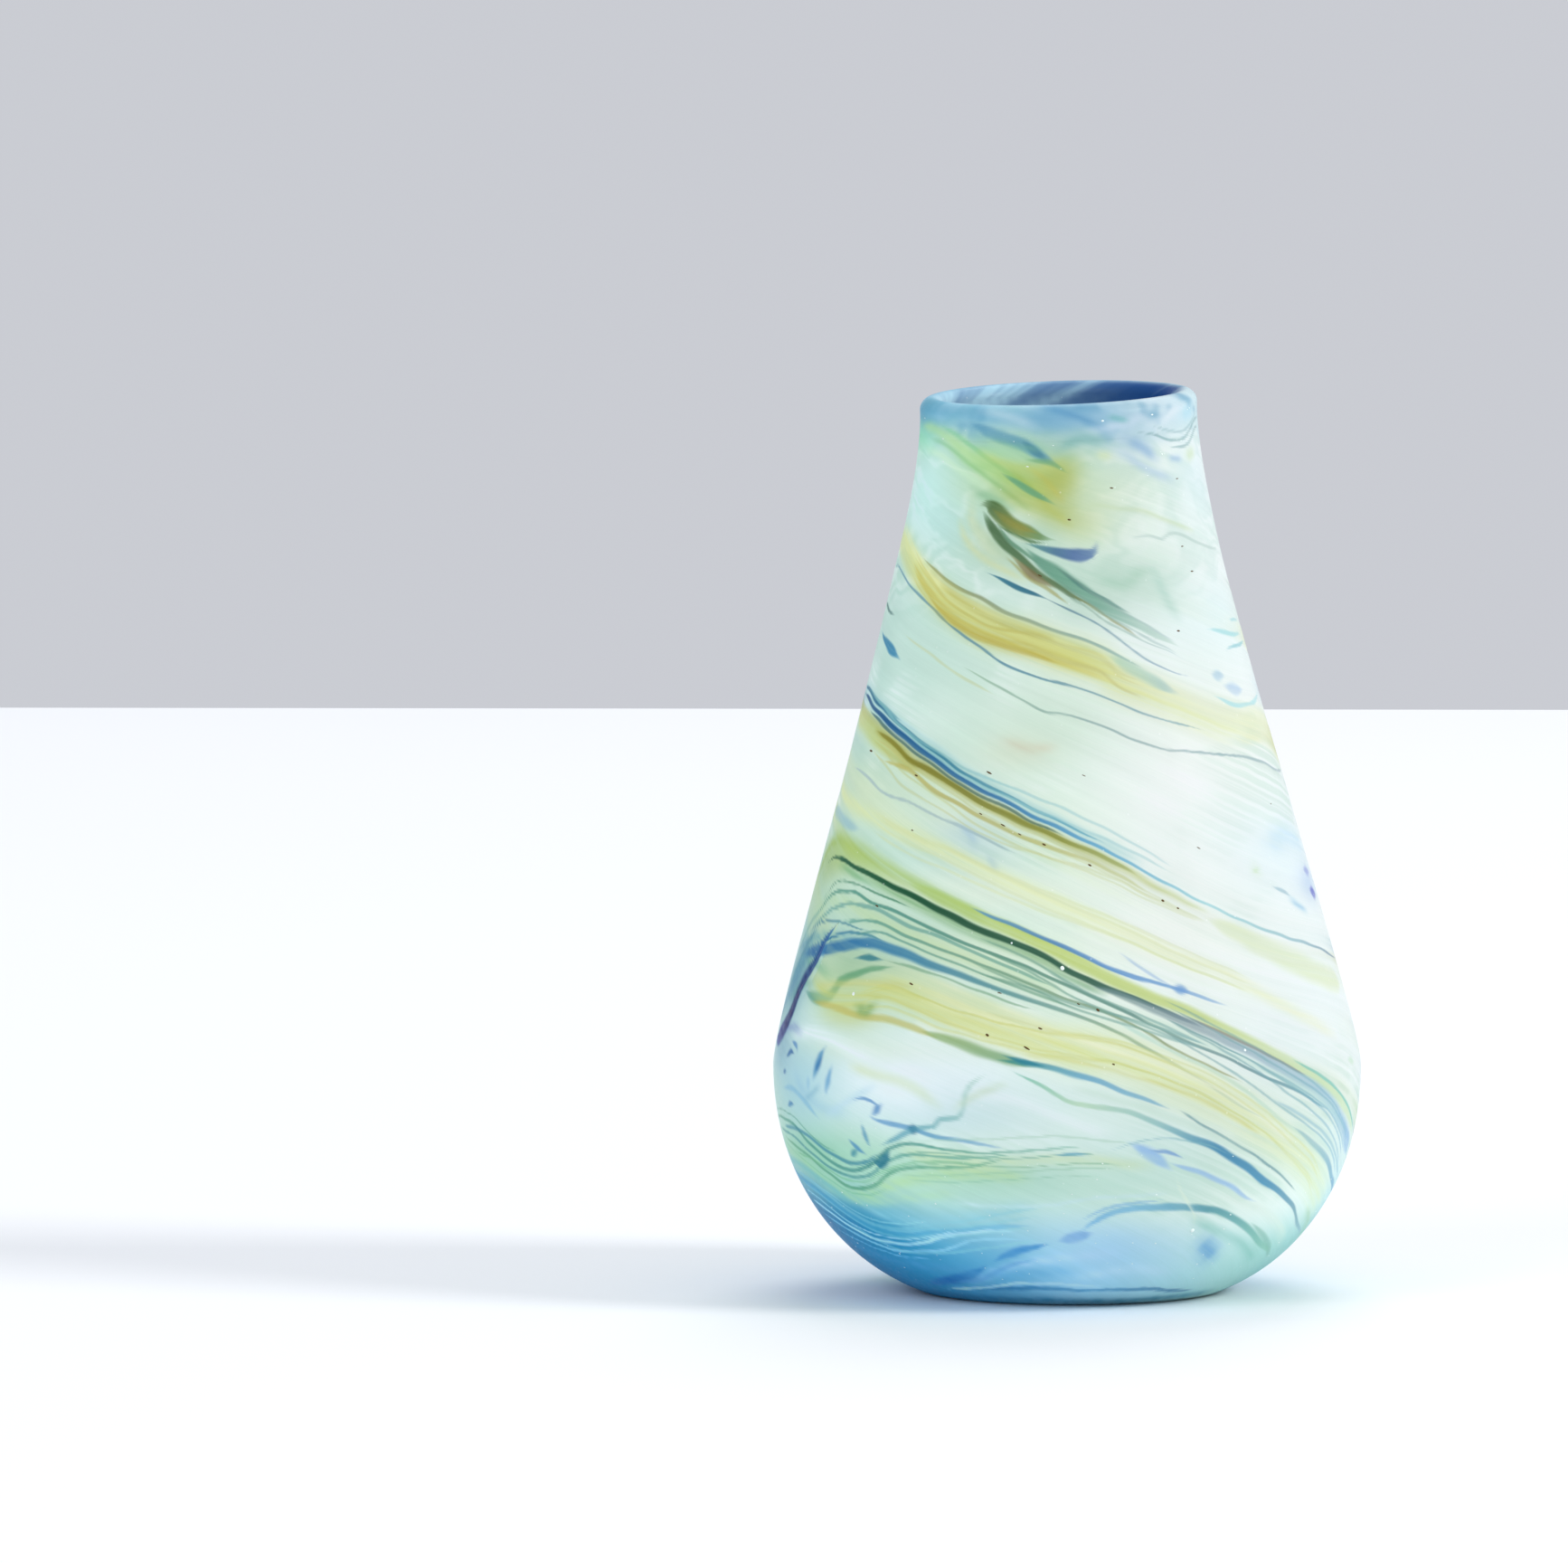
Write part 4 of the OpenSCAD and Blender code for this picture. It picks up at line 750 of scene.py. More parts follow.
def lay_ground(p, x):
    """The pale milky glass as the lamps light it: cooler and deeper on the left as painted shade, whiter
    on the right as painted light, with smoke; glass_colour divides the lamps' share back out.
    """
    z = p.z
    p.rgb = read_colours(p.phi, *GROUND_AS_LIT)
    p.lay(0.35 * smooth(-0.1, 0.9, p.cloud), (240, 250, 247))
    curl = p.cloud + 0.6 * wobble(p.jx / 7 + 1.2 * p.cloud, z / 4, 17)
    p.lay(0.5 * smooth(0.1, 0.8, curl) * smooth(-0.2, 1, 0.5 + p.fibre), (250, 255, 254))
    p.lay(0.4 * smooth(0.1, 0.8, -curl) * smooth(-0.2, 1, 0.5 - p.fibre), (184, 218, 196))
    smoke = np.abs(wobble(p.jx / 8 + 1.6 * p.cloud, p.jz / 3.4 + 1.1 * wobble(x / 5, z / 5, 19), 23))
    p.lay(0.3 * (1 - smooth(0.0, 0.4, smoke)) * smooth(148, 162, z), (186, 218, 206))
    p.lay(0.4 * (1 - smooth(0.0, 0.3, np.abs(smoke - 0.45))) * smooth(146, 160, z), (250, 254, 252))


def lay_trails(p, back):
    """The broad trails, paler on the front, where the strokes draw them, and the back's lines."""
    phi, z, front = p.phi, p.z, 1 - back
    for mid, half, soft, colour, strength, lowest, highest in BANDS:
        sway = 1.2 * p.streak + back * 2.2 * wobble(phi / 23 + mid, z / 19, 33)
        d = np.abs((p.w - mid + sway + 180) % 360 - 180)
        m = (1 - smooth(half - soft, half + soft * (1 + back), d)) * strength
        m = m * (1 - back * np.clip(0.25 + 0.55 * wobble(phi / 31 + mid, z / 12, 35), 0, 0.8))
        m = m * smooth(lowest - 8, lowest + 4, z) * (1 - smooth(highest - 6, highest + 8, z))
        p.lay(m * (1 - front * (0.5 + 0.3 * smooth(0, 30, phi))), colour)
    thread = np.clip(0.62 + 0.75 * wobble(p.w / 9, z / 22, 21), 0, 1.15)
    for mid, half, colour, strength in BACK_LINES:
        drift = 2.0 * wobble(z / 14 + mid, phi / 40 + mid, 31)
        d = np.abs((p.w - mid + drift + 180) % 360 - 180)
        m = (1 - smooth(half, half + 0.8, d)) * strength * thread
        p.lay(m * back * smooth(16, 34, z) * (1 - smooth(160, 180, z)), colour)


def lay_ends(p, back):
    """The blue water of the base and the mottled blue rim, all round."""
    phi, z = p.phi, p.z
    right = smooth(-20, 60, phi) * (1 - smooth(90, 150, phi))
    shore = 24 + (4 + 5 * back) * wobble(phi / 26, z / 40, 41) - 6 * right
    fade = 9 + 8 * smooth(-62, -20, phi) * (1 - smooth(80, 120, phi))
    p.lay(0.92 * (1 - smooth(shore - fade, shore + 9, z)), read_colours(phi, *WATER))
    p.lay(0.8 * smooth(186, 195, z + 2.4 * p.cloud), read_colours(phi, *RIM))
    rim = smooth(184, 191, z)
    mottle = wobble(phi / 8 + 0.8 * p.cloud, z / 2.2, 45)
    p.lay(0.5 * rim * smooth(0.05, 0.8, mottle), (196, 224, 236))
    p.lay(0.5 * rim * smooth(0.1, 0.8, -mottle), (84, 148, 186))


def lay_drifts(p, back):
    """Green and blue drifts that only the back has."""
    phi, z = p.phi, p.z
    neck = smooth(150, 172, z) * (1 - smooth(184, 190, z))
    wall = smooth(30, 60, z) * (1 - smooth(150, 186, z))
    low = 1 - smooth(36, 60, z)
    p.lay(0.55 * back * smooth(0.1, 0.9, wobble(phi / 17, z / 9, 51)) * neck, (172, 196, 112))
    p.lay(0.5 * back * smooth(0.2, 0.9, wobble(phi / 13, z / 6, 52)) * wall, (150, 192, 226))
    p.lay(0.4 * back * smooth(0.25, 0.9, wobble(phi / 21, z / 8, 53)) * low, (130, 190, 156))


def paint_turn(phi, z, w):
    """The paint on one unrolled turn of the wall."""
    p = Paint(phi, z, w)
    back = smooth(72, 108, np.abs(phi))
    lay_ground(p, np.radians(phi) * p.r)
    lay_trails(p, back)
    lay_ends(p, back)
    lay_drifts(p, back)
    for cloud in CLOUDS:
        p.blob(*cloud)
    for stroke in STROKES:
        p.stroke(*stroke)
    p.rgb *= 1 + 0.012 * p.streak[:, None]
    return np.clip(p.rgb, 0, BRIGHTEST)


# ---------------------------------------------------------------- from looks to glass
# Light that reaches each side of the front, against full white, every so many degrees
LAMP_ANGLES = [-180, -90, -60, -30, 0, 30, 60, 90, 180]
LAMP_SIDE = [1.05, 0.90, 0.91, 0.97, 1.12, 1.33, 1.28, 1.25, 1.05]
# Linear light that the satin skin adds by itself
VEIL = 0.010


def to_linear(rgb):
    c = np.clip(rgb / 255.0, 0, 1)
    return np.where(c <= 0.04045, c / 12.92, ((c + 0.055) / 1.055) ** 2.4)


def lamp_share(phi, z):
    """How bright the studio light makes white glass at each place."""
    side = np.interp(phi, LAMP_ANGLES, LAMP_SIDE)
    return side * (1 - 0.26 * (1 - smooth(4, 50, z)))


def glass_colour(phi, z, w):
    """Linear colour of the glass itself: the look with the lamps' share taken out."""
    lin = (to_linear(paint(phi, z, w)) - VEIL) / lamp_share(phi, z)[:, None]
    return np.clip(lin, 0.001, 0.93)


# ---------------------------------------------------------------- shape
def swirl(z):
    t = np.asarray(z, float) / VASE_H
    return SWIRL_TURN * ((1 - SWIRL_BIAS) * t + SWIRL_BIAS * t * t)


# Where hot glass was pulled up or down while it turned: lift in mm, then the middle and
# spread of the pull in degrees and in mm of height.
PULLS = [(-8, 45, 40, 88, 28), (-9, 85, 35, 38, 22), (4, -50, 35, 120, 18),
         (-9, -65, 18, 74, 12), (4, 85, 25, 128, 14), (3, -80, 25, 163, 14),
         (-3, 45, 25, 50, 15), (3, 170, 40, 60, 20), (-4, 215, 35, 110, 22)]


def pulled(phi, z):
    """Height that a point of the swirl has once the pulls are in."""
    lift = np.zeros_like(z)
    for mm, mid, spread, level, tall in PULLS:
        d = (phi - mid + 180) % 360 - 180
        lift += mm * np.exp(-(d / spread) ** 2 - ((z - level) / tall) ** 2)
    ends = smooth(FOOT_T, FOOT_T + 14, z) * (1 - smooth(TRAIL_TOP - 14, TRAIL_TOP, z))
    return z + lift * ends


def relief(phi, z):
    """Slight unevenness of the blown wall, in mm."""
    a = np.radians(phi)
    soft = (0.14 * np.sin(2 * a + 0.031 * z + 0.4) + 0.10 * np.sin(3 * a - 0.052 * z + 1.7)
            + 0.06 * np.sin(5 * a + 0.083 * z + 2.2) + 0.03 * np.sin(9 * a + 0.21 * z + 0.9))
    return soft * smooth(2, 14, z) * (1 - 0.7 * smooth(186, 199, z))


def lip_tilt(x, y, z):
    """How far the uneven lip lifts a point: it dips to the front and to the left."""
    return (0.034 * x + 0.062 * y - 1.7) * smooth(140, 200, z)


def settle(x, y, z):
    """The hand made stance: a slight lean, and a lip that isn't quite level."""
    lift = lip_tilt(x, y, z)
    return x - 2.88 * z / VASE_H, y, z + lift


def seen_height(phi, z):
    """Height of a wall point once the lip's tilt is in."""
    a, r = np.radians(phi), out_radius(z)
    return np.minimum(z + lip_tilt(r * np.sin(a), -r * np.cos(a), z), VASE_H - 0.5)


def on_wall(phi, z, lift=0.0):
    """Points on the outer wall, raised by lift mm along the radius."""
    r = out_radius(z) + relief(phi, z) + lift
    a = np.radians(phi)
    return np.stack(settle(r * np.sin(a), -r * np.cos(a), z), axis=-1)


def wall_normals(phi, z):
    eps_a, eps_z = 0.35, 0.25
    da = on_wall(phi + eps_a, z) - on_wall(phi - eps_a, z)
    dz = on_wall(phi, np.minimum(z + eps_z, VASE_H)) - on_wall(phi, np.maximum(z - eps_z, 0))
    n = np.cross(da, dz)
    return n / np.linalg.norm(n, axis=-1, keepdims=True)


def turned(points, phi):
    """Spins (radius, height) points round the axis, then lets them settle."""
    a = np.radians(phi)
    r, z = points[:, 0][:, None], points[:, 1][:, None]
    r = r + relief(phi, z) * smooth(4, 16, r)
    return settle(r * np.sin(a), -r * np.cos(a), z + 0 * a)

# ---------------------------------------------------------------- meshes
# Radius below which a turned profile has a pole, and the angle above which an edge is sharp
POLE, SHARP_DEG = 1e-6, 38
# How far a melted on thread's edge and its hidden underside lie under the skin, in mm
EDGE_SUNK, UNDER_SUNK = 0.03, 0.25


def make_piece(name, verts, faces, colours, flow, slot, node, normals=None):
    """One piece of the vase, with its glass colour and swirl coordinates on its points."""
    mesh = bpy.data.meshes.new(name)
    mesh.from_pydata((np.asarray(verts) * MM).tolist(), [], faces)
    mesh.polygons.foreach_set("use_smooth", [True] * len(mesh.polygons))
    shade = mesh.color_attributes.new("glass", "FLOAT_COLOR", "POINT")
    rgba = np.ones((len(verts), 4), np.float32)
    rgba[:, :3] = colours
    shade.data.foreach_set("color", rgba.ravel())
    stream = mesh.attributes.new("flow", "FLOAT_VECTOR", "POINT")
    stream.data.foreach_set("vector", np.asarray(flow, np.float32).ravel())
    if normals is not None:
        mesh.normals_split_custom_set_from_vertices(normals.tolist())
    obj = bpy.data.objects.new(name, mesh)
    bpy.context.collection.objects.link(obj)
    obj.data.materials.append(MATERIALS[slot])
    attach(obj, "root")
    if node:
        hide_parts(node)
    return obj


def flow_of(w, z):
    """Swirl coordinates for the fine streaks: across the trails, along them, and height."""
    return np.stack([np.radians(w) * 42, z * 0.9, z * 0.4], axis=-1)


def grid_triangles(grid, flip=False):
    """Two triangles for each cell of a grid of point numbers."""
    a, b, c, d = grid[:-1, :-1], grid[:-1, 1:], grid[1:, 1:], grid[1:, :-1]
    halves = ((a, c, b), (a, d, c)) if flip else ((a, b, c), (a, c, d))
    return np.concatenate([np.stack(half, -1).reshape(-1, 3) for half in halves]).tolist()


def ribbon(name, start, width, slot):
    """One trail of the swirl: a curved band let into the wall, fine outside, plain inside."""
    cols = 3 * max(2, round(width / COLUMN_DEG / 3))
    rows = 3 * round((TRAIL_TOP - FOOT_T) / ROW_MM / 3)
    w = (start + width * np.arange(cols + 1) / cols)[None, :].repeat(rows + 1, 0)
    level = (FOOT_T + (TRAIL_TOP - FOOT_T) * np.arange(rows + 1) / rows)[:, None]
    level = level.repeat(cols + 1, 1)
    phi = (w - swirl(level) + 180) % 360 - 180
    z = pulled(phi, level)

    def thirds(values):
        """The inside has every third point of the outside, both ways."""
        return values.reshape(rows + 1, cols + 1, 3)[::3, ::3].reshape(-1, 3)

    outer = on_wall(phi, z).reshape(-1, 3)
    inner = on_wall(phi[::3, ::3], z[::3, ::3], FUSE_GAP - TRAIL_DEPTH).reshape(-1, 3)
    grid = np.arange(len(outer)).reshape(rows + 1, cols + 1)
    low = np.arange(len(inner)).reshape(rows // 3 + 1, cols // 3 + 1) + len(outer)
    faces = grid_triangles(grid) + grid_triangles(low, flip=True)
    for fine, coarse, flip in ((grid[0], low[0], True), (grid[-1], low[-1], False),
                               (grid[:, 0], low[:, 0], False), (grid[:, -1], low[:, -1], True)):
        for k in range(len(coarse) - 1):
            edge = [int(v) for v in fine[3 * k:3 * k + 4]] + [int(coarse[k + 1]), int(coarse[k])]
            faces.append(edge[::-1] if flip else edge)
    flat_phi, flat_z, flat_w = phi.ravel(), z.ravel(), w.ravel()
    colours = glass_colour(flat_phi, seen_height(flat_phi, flat_z), flat_w)
    normals = wall_normals(flat_phi, flat_z)
    flow = flow_of(flat_w, level.ravel())
    return make_piece(name, np.vstack([outer, inner]), faces,
                      np.vstack([colours, thirds(colours)]), np.vstack([flow, thirds(flow)]),
                      slot, name, np.vstack([normals, -thirds(normals)]))


def spin(name, profile, slot, colour_of, step_deg):
    """A turned piece from a closed profile of (radius, height) points; radius 0 is a pole."""
    n = round(360 / step_deg)
    phi = (np.arange(n) * 360.0 / n + 180) % 360 - 180
    pts = np.array(profile, float)
    ring = np.stack(turned(pts, phi[None, :]), -1)
    verts, index, places = [], [], []
    for k, (r, z) in enumerate(pts):
        angles = phi[:1] * 0 if r < POLE else phi
        numbers = list(range(len(verts), len(verts) + len(angles)))
        index.append(numbers * n if r < POLE else numbers)
        verts.extend(ring[k, :len(angles)])
        places.extend((angle, z, r) for angle in angles)
    faces = []
    for k, p in enumerate(index):
        q = index[(k + 1) % len(index)]
        if p[0] == p[1] and q[0] == q[1]:
            continue
        for j in range(n):
            i = (j + 1) % n
            faces.append(list(dict.fromkeys([p[j], p[i], q[i], q[j]])))
    angle, height, radius = np.array(places).T
    w = (angle + swirl(height)) % 360
    colours = colour_of(angle, height, radius, w)
    piece = make_piece(name, np.array(verts), faces, colours, flow_of(w, height), slot, name)
    piece.data.set_sharp_from_angle(angle=math.radians(SHARP_DEG))
    return piece


def arc(cr, cz, radius, a0, a1, n):
    """Points of a round stretch of a profile, with its angles in degrees."""
    a = np.radians(np.linspace(a0, a1, n))
    return [(cr + radius * math.cos(t), cz + radius * math.sin(t)) for t in a]


def trail(name, path, half, rise, slot):
    """A fine thread of glass melted onto the wall, thickest in its middle, closed below."""
    pts = path_of(path, 0.5)
    ahead = np.gradient(pts, axis=0)
    r = out_radius(pts[:, 1])
    run = np.stack([np.radians(ahead[:, 0]) * r, ahead[:, 1]], -1)
    run /= np.linalg.norm(run, axis=1, keepdims=True) + 1e-9
    t = np.linspace(0, 1, len(pts))
    halves = np.interp(t, np.linspace(0, 1, len(half)), half)
    halves = halves * (0.3 + 0.7 * smooth(0, 0.06, t) * (1 - smooth(0.94, 1, t)))
    across = np.linspace(-1, 1, 13)
    off = halves[:, None] * across[None, :]
    phi = pts[:, 0][:, None] + np.degrees(off * -run[:, 1][:, None] / r[:, None])
    z = pts[:, 1][:, None] + off * run[:, 0][:, None]
    lens = (1 - across ** 2)[None, :] * np.minimum(rise, halves[:, None] * 0.3)
    top = on_wall(phi, z, lens - EDGE_SUNK).reshape(-1, 3)
    under = on_wall(phi, z, -UNDER_SUNK).reshape(-1, 3)
    n, m = len(pts), len(across)
    grid = np.arange(n * m).reshape(n, m)
    low = grid + n * m
    # skins above and below, then the four rims between them
    pairs = [(grid[i], grid[i + 1], True) for i in range(n - 1)]
    pairs += [(low[i], low[i + 1], False) for i in range(n - 1)]
    pairs += [(grid[:, 0], low[:, 0], False), (grid[:, -1], low[:, -1], True),
              (grid[0], low[0], False), (grid[-1], low[-1], True)]
    faces = []
    for one, two, flip in pairs:
        for k in range(len(one) - 1):
            face = [int(v) for v in (one[k], one[k + 1], two[k + 1], two[k])]
            faces.append(face[::-1] if flip else face)
    phi, z = phi.ravel(), z.ravel()
    w = (phi + swirl(z)) % 360
    colours = glass_colour(phi, seen_height(phi, z), w)
    return make_piece(name, np.vstack([top, under]), faces, np.vstack([colours] * 2),
                      np.vstack([flow_of(w, z)] * 2), slot, name)


def grains(name, spots, colour, slot, tall):
    """Tiny lens shaped bits just under the skin: (angle, height, radius, stretch, turn)."""
    verts, faces, flow = [], [], []
    levels, sides = 9, 12
    for phi0, z0, size, stretch, turn in spots:
        base = len(verts)
        ca, sa = math.cos(math.radians(turn)), math.sin(math.radians(turn))
        r = float(out_radius(z0))
        for k in range(levels):
            lat = math.pi * (k / (levels - 1) - 0.5)
            for j in range(sides):
                lon = 2 * math.pi * j / sides
                u = size * stretch * math.cos(lat) * math.cos(lon)
                v = size / math.sqrt(stretch) * math.cos(lat) * math.sin(lon)
                du, dv = u * ca - v * sa, u * sa + v * ca
                verts.append(on_wall(phi0 + math.degrees(du / r), z0 + dv,
                                     tall * size * math.sin(lat)).tolist())
                flow.append((phi0, z0, 0))
        for k in range(levels - 1):
            for j in range(sides):
                i = (j + 1) % sides
                row, above = base + k * sides, base + (k + 1) * sides
                faces.append([row + j, row + i, above + i, above + j])
    colours = np.array([colour] * len(verts))
    return make_piece(name, np.array(verts), faces, colours, np.array(flow), slot, None)


# ---------------------------------------------------------------- materials
def node_adder(tree):
    """A function that adds one shader node with its settings, and sets or links its inputs."""
    def add(kind, inputs=None, **settings):
        node = tree.nodes.new("ShaderNode" + kind)
        for key, value in settings.items():
            setattr(node, key, value)
        for key, value in (inputs or {}).items():
            if hasattr(value, "is_linked"):
                tree.links.new(value, node.inputs[key])
            else:
                node.inputs[key].default_value = value
        return node
    return add


# Texture scales of the seeds, the satin skin and the soft dents, and the dents' depth in m
SEED_SCALE, SKIN_SCALE, DENT_SCALE, DENT_DEPTH = 260.0, 900.0, 70.0, 0.0004


def glass(name, rough, bump, streaks, shine):
    """Satin glass: painted colour, fine streaks along the swirl, seeds and a soft skin."""
    mat = bpy.data.materials.new(name)
    mat.use_nodes = True
    mat.node_tree.nodes.clear()
    add = node_adder(mat.node_tree)
    painted = add("Attribute", attribute_name="glass").outputs["Color"]
    flow = add("Attribute", attribute_name="flow").outputs["Vector"]
    place = add("TexCoord").outputs["Object"]

    def streak(across, lengthwise, detail, uneven=0.6):
        stretch = add("Mapping", {"Vector": flow, "Scale": (across, lengthwise, lengthwise)})
        return add("TexNoise", {"Vector": stretch.outputs["Vector"], "Scale": 1.0, "Detail": detail,
                                "Roughness": uneven, "Distortion": 0.8}).outputs["Fac"]

    def grain(scale, detail):
        return add("TexNoise", {"Vector": place, "Scale": scale, "Detail": detail}).outputs["Fac"]

    def ramp(fac, lo, hi, a, b):
        return add("MapRange", {"Value": fac, "From Min": lo, "From Max": hi, "To Min": a, "To Max": b},
                   interpolation_type="SMOOTHSTEP").outputs["Result"]

    def mix(fac, a, b, kind="MULTIPLY"):
        return add("Mix", {0: fac, 6: a, 7: b}, data_type="RGBA", blend_type=kind).outputs[2]

    fine = ramp(streak(2.2, 0.10, 5.0), 0.3, 0.75, 0.0, streaks)
    tone = mix(fine, painted, (0.92, 0.96, 0.95, 1))
    broad = ramp(streak(0.55, 0.05, 3.0), 0.35, 0.7, 0.0, streaks * 0.6)
    tone = mix(broad, tone, (0.95, 0.98, 0.96, 1))
    thread = add("Math", {0: streak(1.3, 0.03, 2.0, 0.4), 1: 0.05}, operation="PINGPONG").outputs[0]
    tone = mix(ramp(thread, 0.0, 0.004, streaks * 0.22, 0.0), tone, (0.6, 0.76, 0.74, 1))
    seeds = add("TexVoronoi", {"Vector": place, "Scale": SEED_SCALE}).outputs["Distance"]
    tone = mix(ramp(seeds, 0.04, 0.07, 0.2, 0.0), tone, (1, 1, 1, 1), "MIX")

    skin = grain(SKIN_SCALE, 4.0)
    dents = grain(DENT_SCALE, 3.0)
    height = add("Math", {0: skin, 1: 0.12, 2: dents}, operation="MULTIPLY_ADD").outputs[0]
    dent = add("Bump", {"Strength": bump, "Distance": DENT_DEPTH, "Height": height})
    shader = add("BsdfPrincipled", {
        "Base Color": tone, "Roughness": ramp(skin, 0.3, 0.7, rough - 0.05, rough + 0.06),
        "IOR": 1.5, "Specular IOR Level": shine, "Normal": dent.outputs["Normal"]})
    add("OutputMaterial", {"Surface": shader.outputs["BSDF"]})
    return mat


# Slot, roughness, depth of the dents, strength of the streaks, strength of the shine
GLASSES = [
    ("gather_glass", 0.34, 0.25, 0.5, 0.07), ("amber_glass", 0.42, 0.3, 0.8, 0.12),
    ("opal_glass", 0.40, 0.3, 0.6, 0.12), ("yellow_glass", 0.42, 0.3, 0.9, 0.12),
    ("teal_line_glass", 0.41, 0.3, 0.9, 0.12), ("green_glass", 0.41, 0.3, 0.8, 0.12),
    ("cream_glass", 0.42, 0.3, 0.7, 0.12), ("straw_glass", 0.42, 0.3, 0.9, 0.12),
    ("olive_glass", 0.40, 0.3, 0.8, 0.12), ("cobalt_glass", 0.38, 0.3, 0.8, 0.12),
    ("mint_glass", 0.41, 0.3, 0.6, 0.12), ("hook_glass", 0.36, 0.25, 0.5, 0.12),
    ("drip_glass", 0.34, 0.25, 0.3, 0.12), ("foot_glass", 0.42, 0.3, 0.5, 0.12),
]
MATERIALS = {row[0]: glass(*row) for row in GLASSES}


# ---------------------------------------------------------------- the vase
def add_ribbons():
    """The ten trails, side by side round the gather."""
    start = SWIRL_START
    for name, width, slot in RIBBONS:
        ribbon(name, start, width, slot)
        start += width


def gather_colour(phi, z, radius, w):
    """Lip as painted outside; the mouth deep blue with pale streaks, paler on the left as painted light
    where the inner wall faces the lamp, and deepest blue on the right as painted shade.
    """
    wall = glass_colour(phi, seen_height(phi, np.clip(z, 0, VASE_H)), w)
    # blue is the inner glass's deep blue and also stands for the painted shade on the right of the mouth;
    # pale is the painted light on the lit left inner wall as well as the glass's pale streaks
    blue = np.array([0.0, 0.062, 0.26])
    pale = np.array([0.40, 0.64, 0.76])
    # side paints light and shade: the left inner wall, turned to the lamp, is mixed towards pale, and the
    # right inner wall stays deep blue
    side = np.clip(0.5 - 0.5 * np.sin(np.radians(phi)), 0, 1) ** 1.5
    cloud = 0.5 + 0.5 * wobble(w / 7, z / 9, 61)
    mix = np.clip(0.95 * side * (0.6 + 0.8 * cloud) + 0.3 * smooth(0.5, 0.9, cloud), 0, 1)[:, None]
    inside = blue * (1 - mix) + pale * mix
    bore = np.interp(z, BORE_Z, BORE_R)
    skin = out_radius(z)
    depth = np.clip((radius - bore) / np.maximum(skin - bore, 0.1), 0, 1)
    lip = smooth(0.12, 0.6, depth)[:, None]
    inner = np.where((radius < skin - 3)[:, None], inside, wall)
    return np.where((z > 190)[:, None], inside * (1 - lip) + wall * lip, inner)


def gather_profile():
    """Outer skin under the trails, the rounded lip, bore and floor, as one closed loop."""
    low_z, top_z = FOOT_T + FUSE_GAP, TRAIL_TOP + FUSE_GAP
    half_lip = NECK_WALL / 2
    mid_z = VASE_H - half_lip
    under = [(float(out_radius(z)) - TRAIL_DEPTH, z) for z in np.arange(low_z, TRAIL_TOP, 3.0)]
    under.append((float(out_radius(TRAIL_TOP)) - TRAIL_DEPTH, top_z))
    proud = [(float(out_radius(z)), z) for z in np.linspace(top_z, mid_z, 12)]
    lip = arc(float(out_radius(mid_z)) - half_lip, mid_z, half_lip, 0, 180, 19)[1:-1]
    heights = np.concatenate([np.arange(mid_z, 150, -1.2), np.arange(150, FLOOR_TOP, -3.0)])
    bore = [(float(np.interp(z, BORE_Z, BORE_R)), float(z)) for z in heights]
    floor = [(r, FLOOR_TOP) for r in (BORE_FLOOR_R, 12.0, 6.0, 0.0)]
    base = [(r, low_z) for r in (0.0, 12.0, 24.0)]
    return under + proud + lip + bore + floor + base


def foot_colour(phi, z, radius, w):
    """The wall's own look outside, plain deep blue under the foot."""
    wall = glass_colour(phi, np.clip(z, 0, 6), w)
    under = np.array([0.05, 0.22, 0.36])
    return np.where((z < 0.05)[:, None] | (radius < PUNT_R + 2)[:, None], under, wall)


def foot_profile():
    """Flat disc with a ground ring round a shallow hollow."""
    hollow = [(0.0, FOOT_T), (0.0, PUNT_H), (PUNT_R - PUNT_SLOPE - 4, PUNT_H),
              (PUNT_R - PUNT_SLOPE - 0.6, PUNT_H - 0.05), (PUNT_R - 0.6, 0.35)]
    ring = [(PUNT_R + 0.4, 0.0), (30.5, 0.0), (31.8, 0.08)]
    side = [(float(out_radius(z)), float(z)) for z in np.linspace(0.35, FOOT_T, 9)]
    return hollow + ring + side + [(BORE_FLOOR_R, FOOT_T)]


def pontil_colour(phi, z, radius, w):
    """Cloudy deep blue."""
    shade = 0.5 + 0.5 * wobble(radius * 1.2, phi / 20, 71)
    return np.array([0.09, 0.30, 0.42]) * (0.8 + 0.5 * shade[:, None])


def pontil_profile():
    """Rough disc of glass in the hollow of the foot."""
    low = PUNT_H - PONTIL_T
    rough = [(r, low + 0.12 * math.sin(r * 1.9)) for r in np.linspace(1.2, 7.6, 8)]
    rim = [(8.5, low + 0.2), (PONTIL_R, PUNT_H - 0.45), (PONTIL_R, PUNT_H), (0.0, PUNT_H)]
    return [(0.0, low)] + rough + rim


HOOK_COURSE = [(14, 165.5), (7, 164.5), (-4, 167.5), (-15, 170.5), (-25, 174.3), (-32, 175),
               (-31.5, 172), (-23, 168), (-13, 163), (-3, 158), (8, 153), (19, 149), (31, 146)]
DRIP_COURSE = [(-84, 56.5), (-78, 58.5), (-74, 62), (-72, 66), (-68, 70.5), (-65, 75),
               (-63, 79.5), (-60, 83.5)]

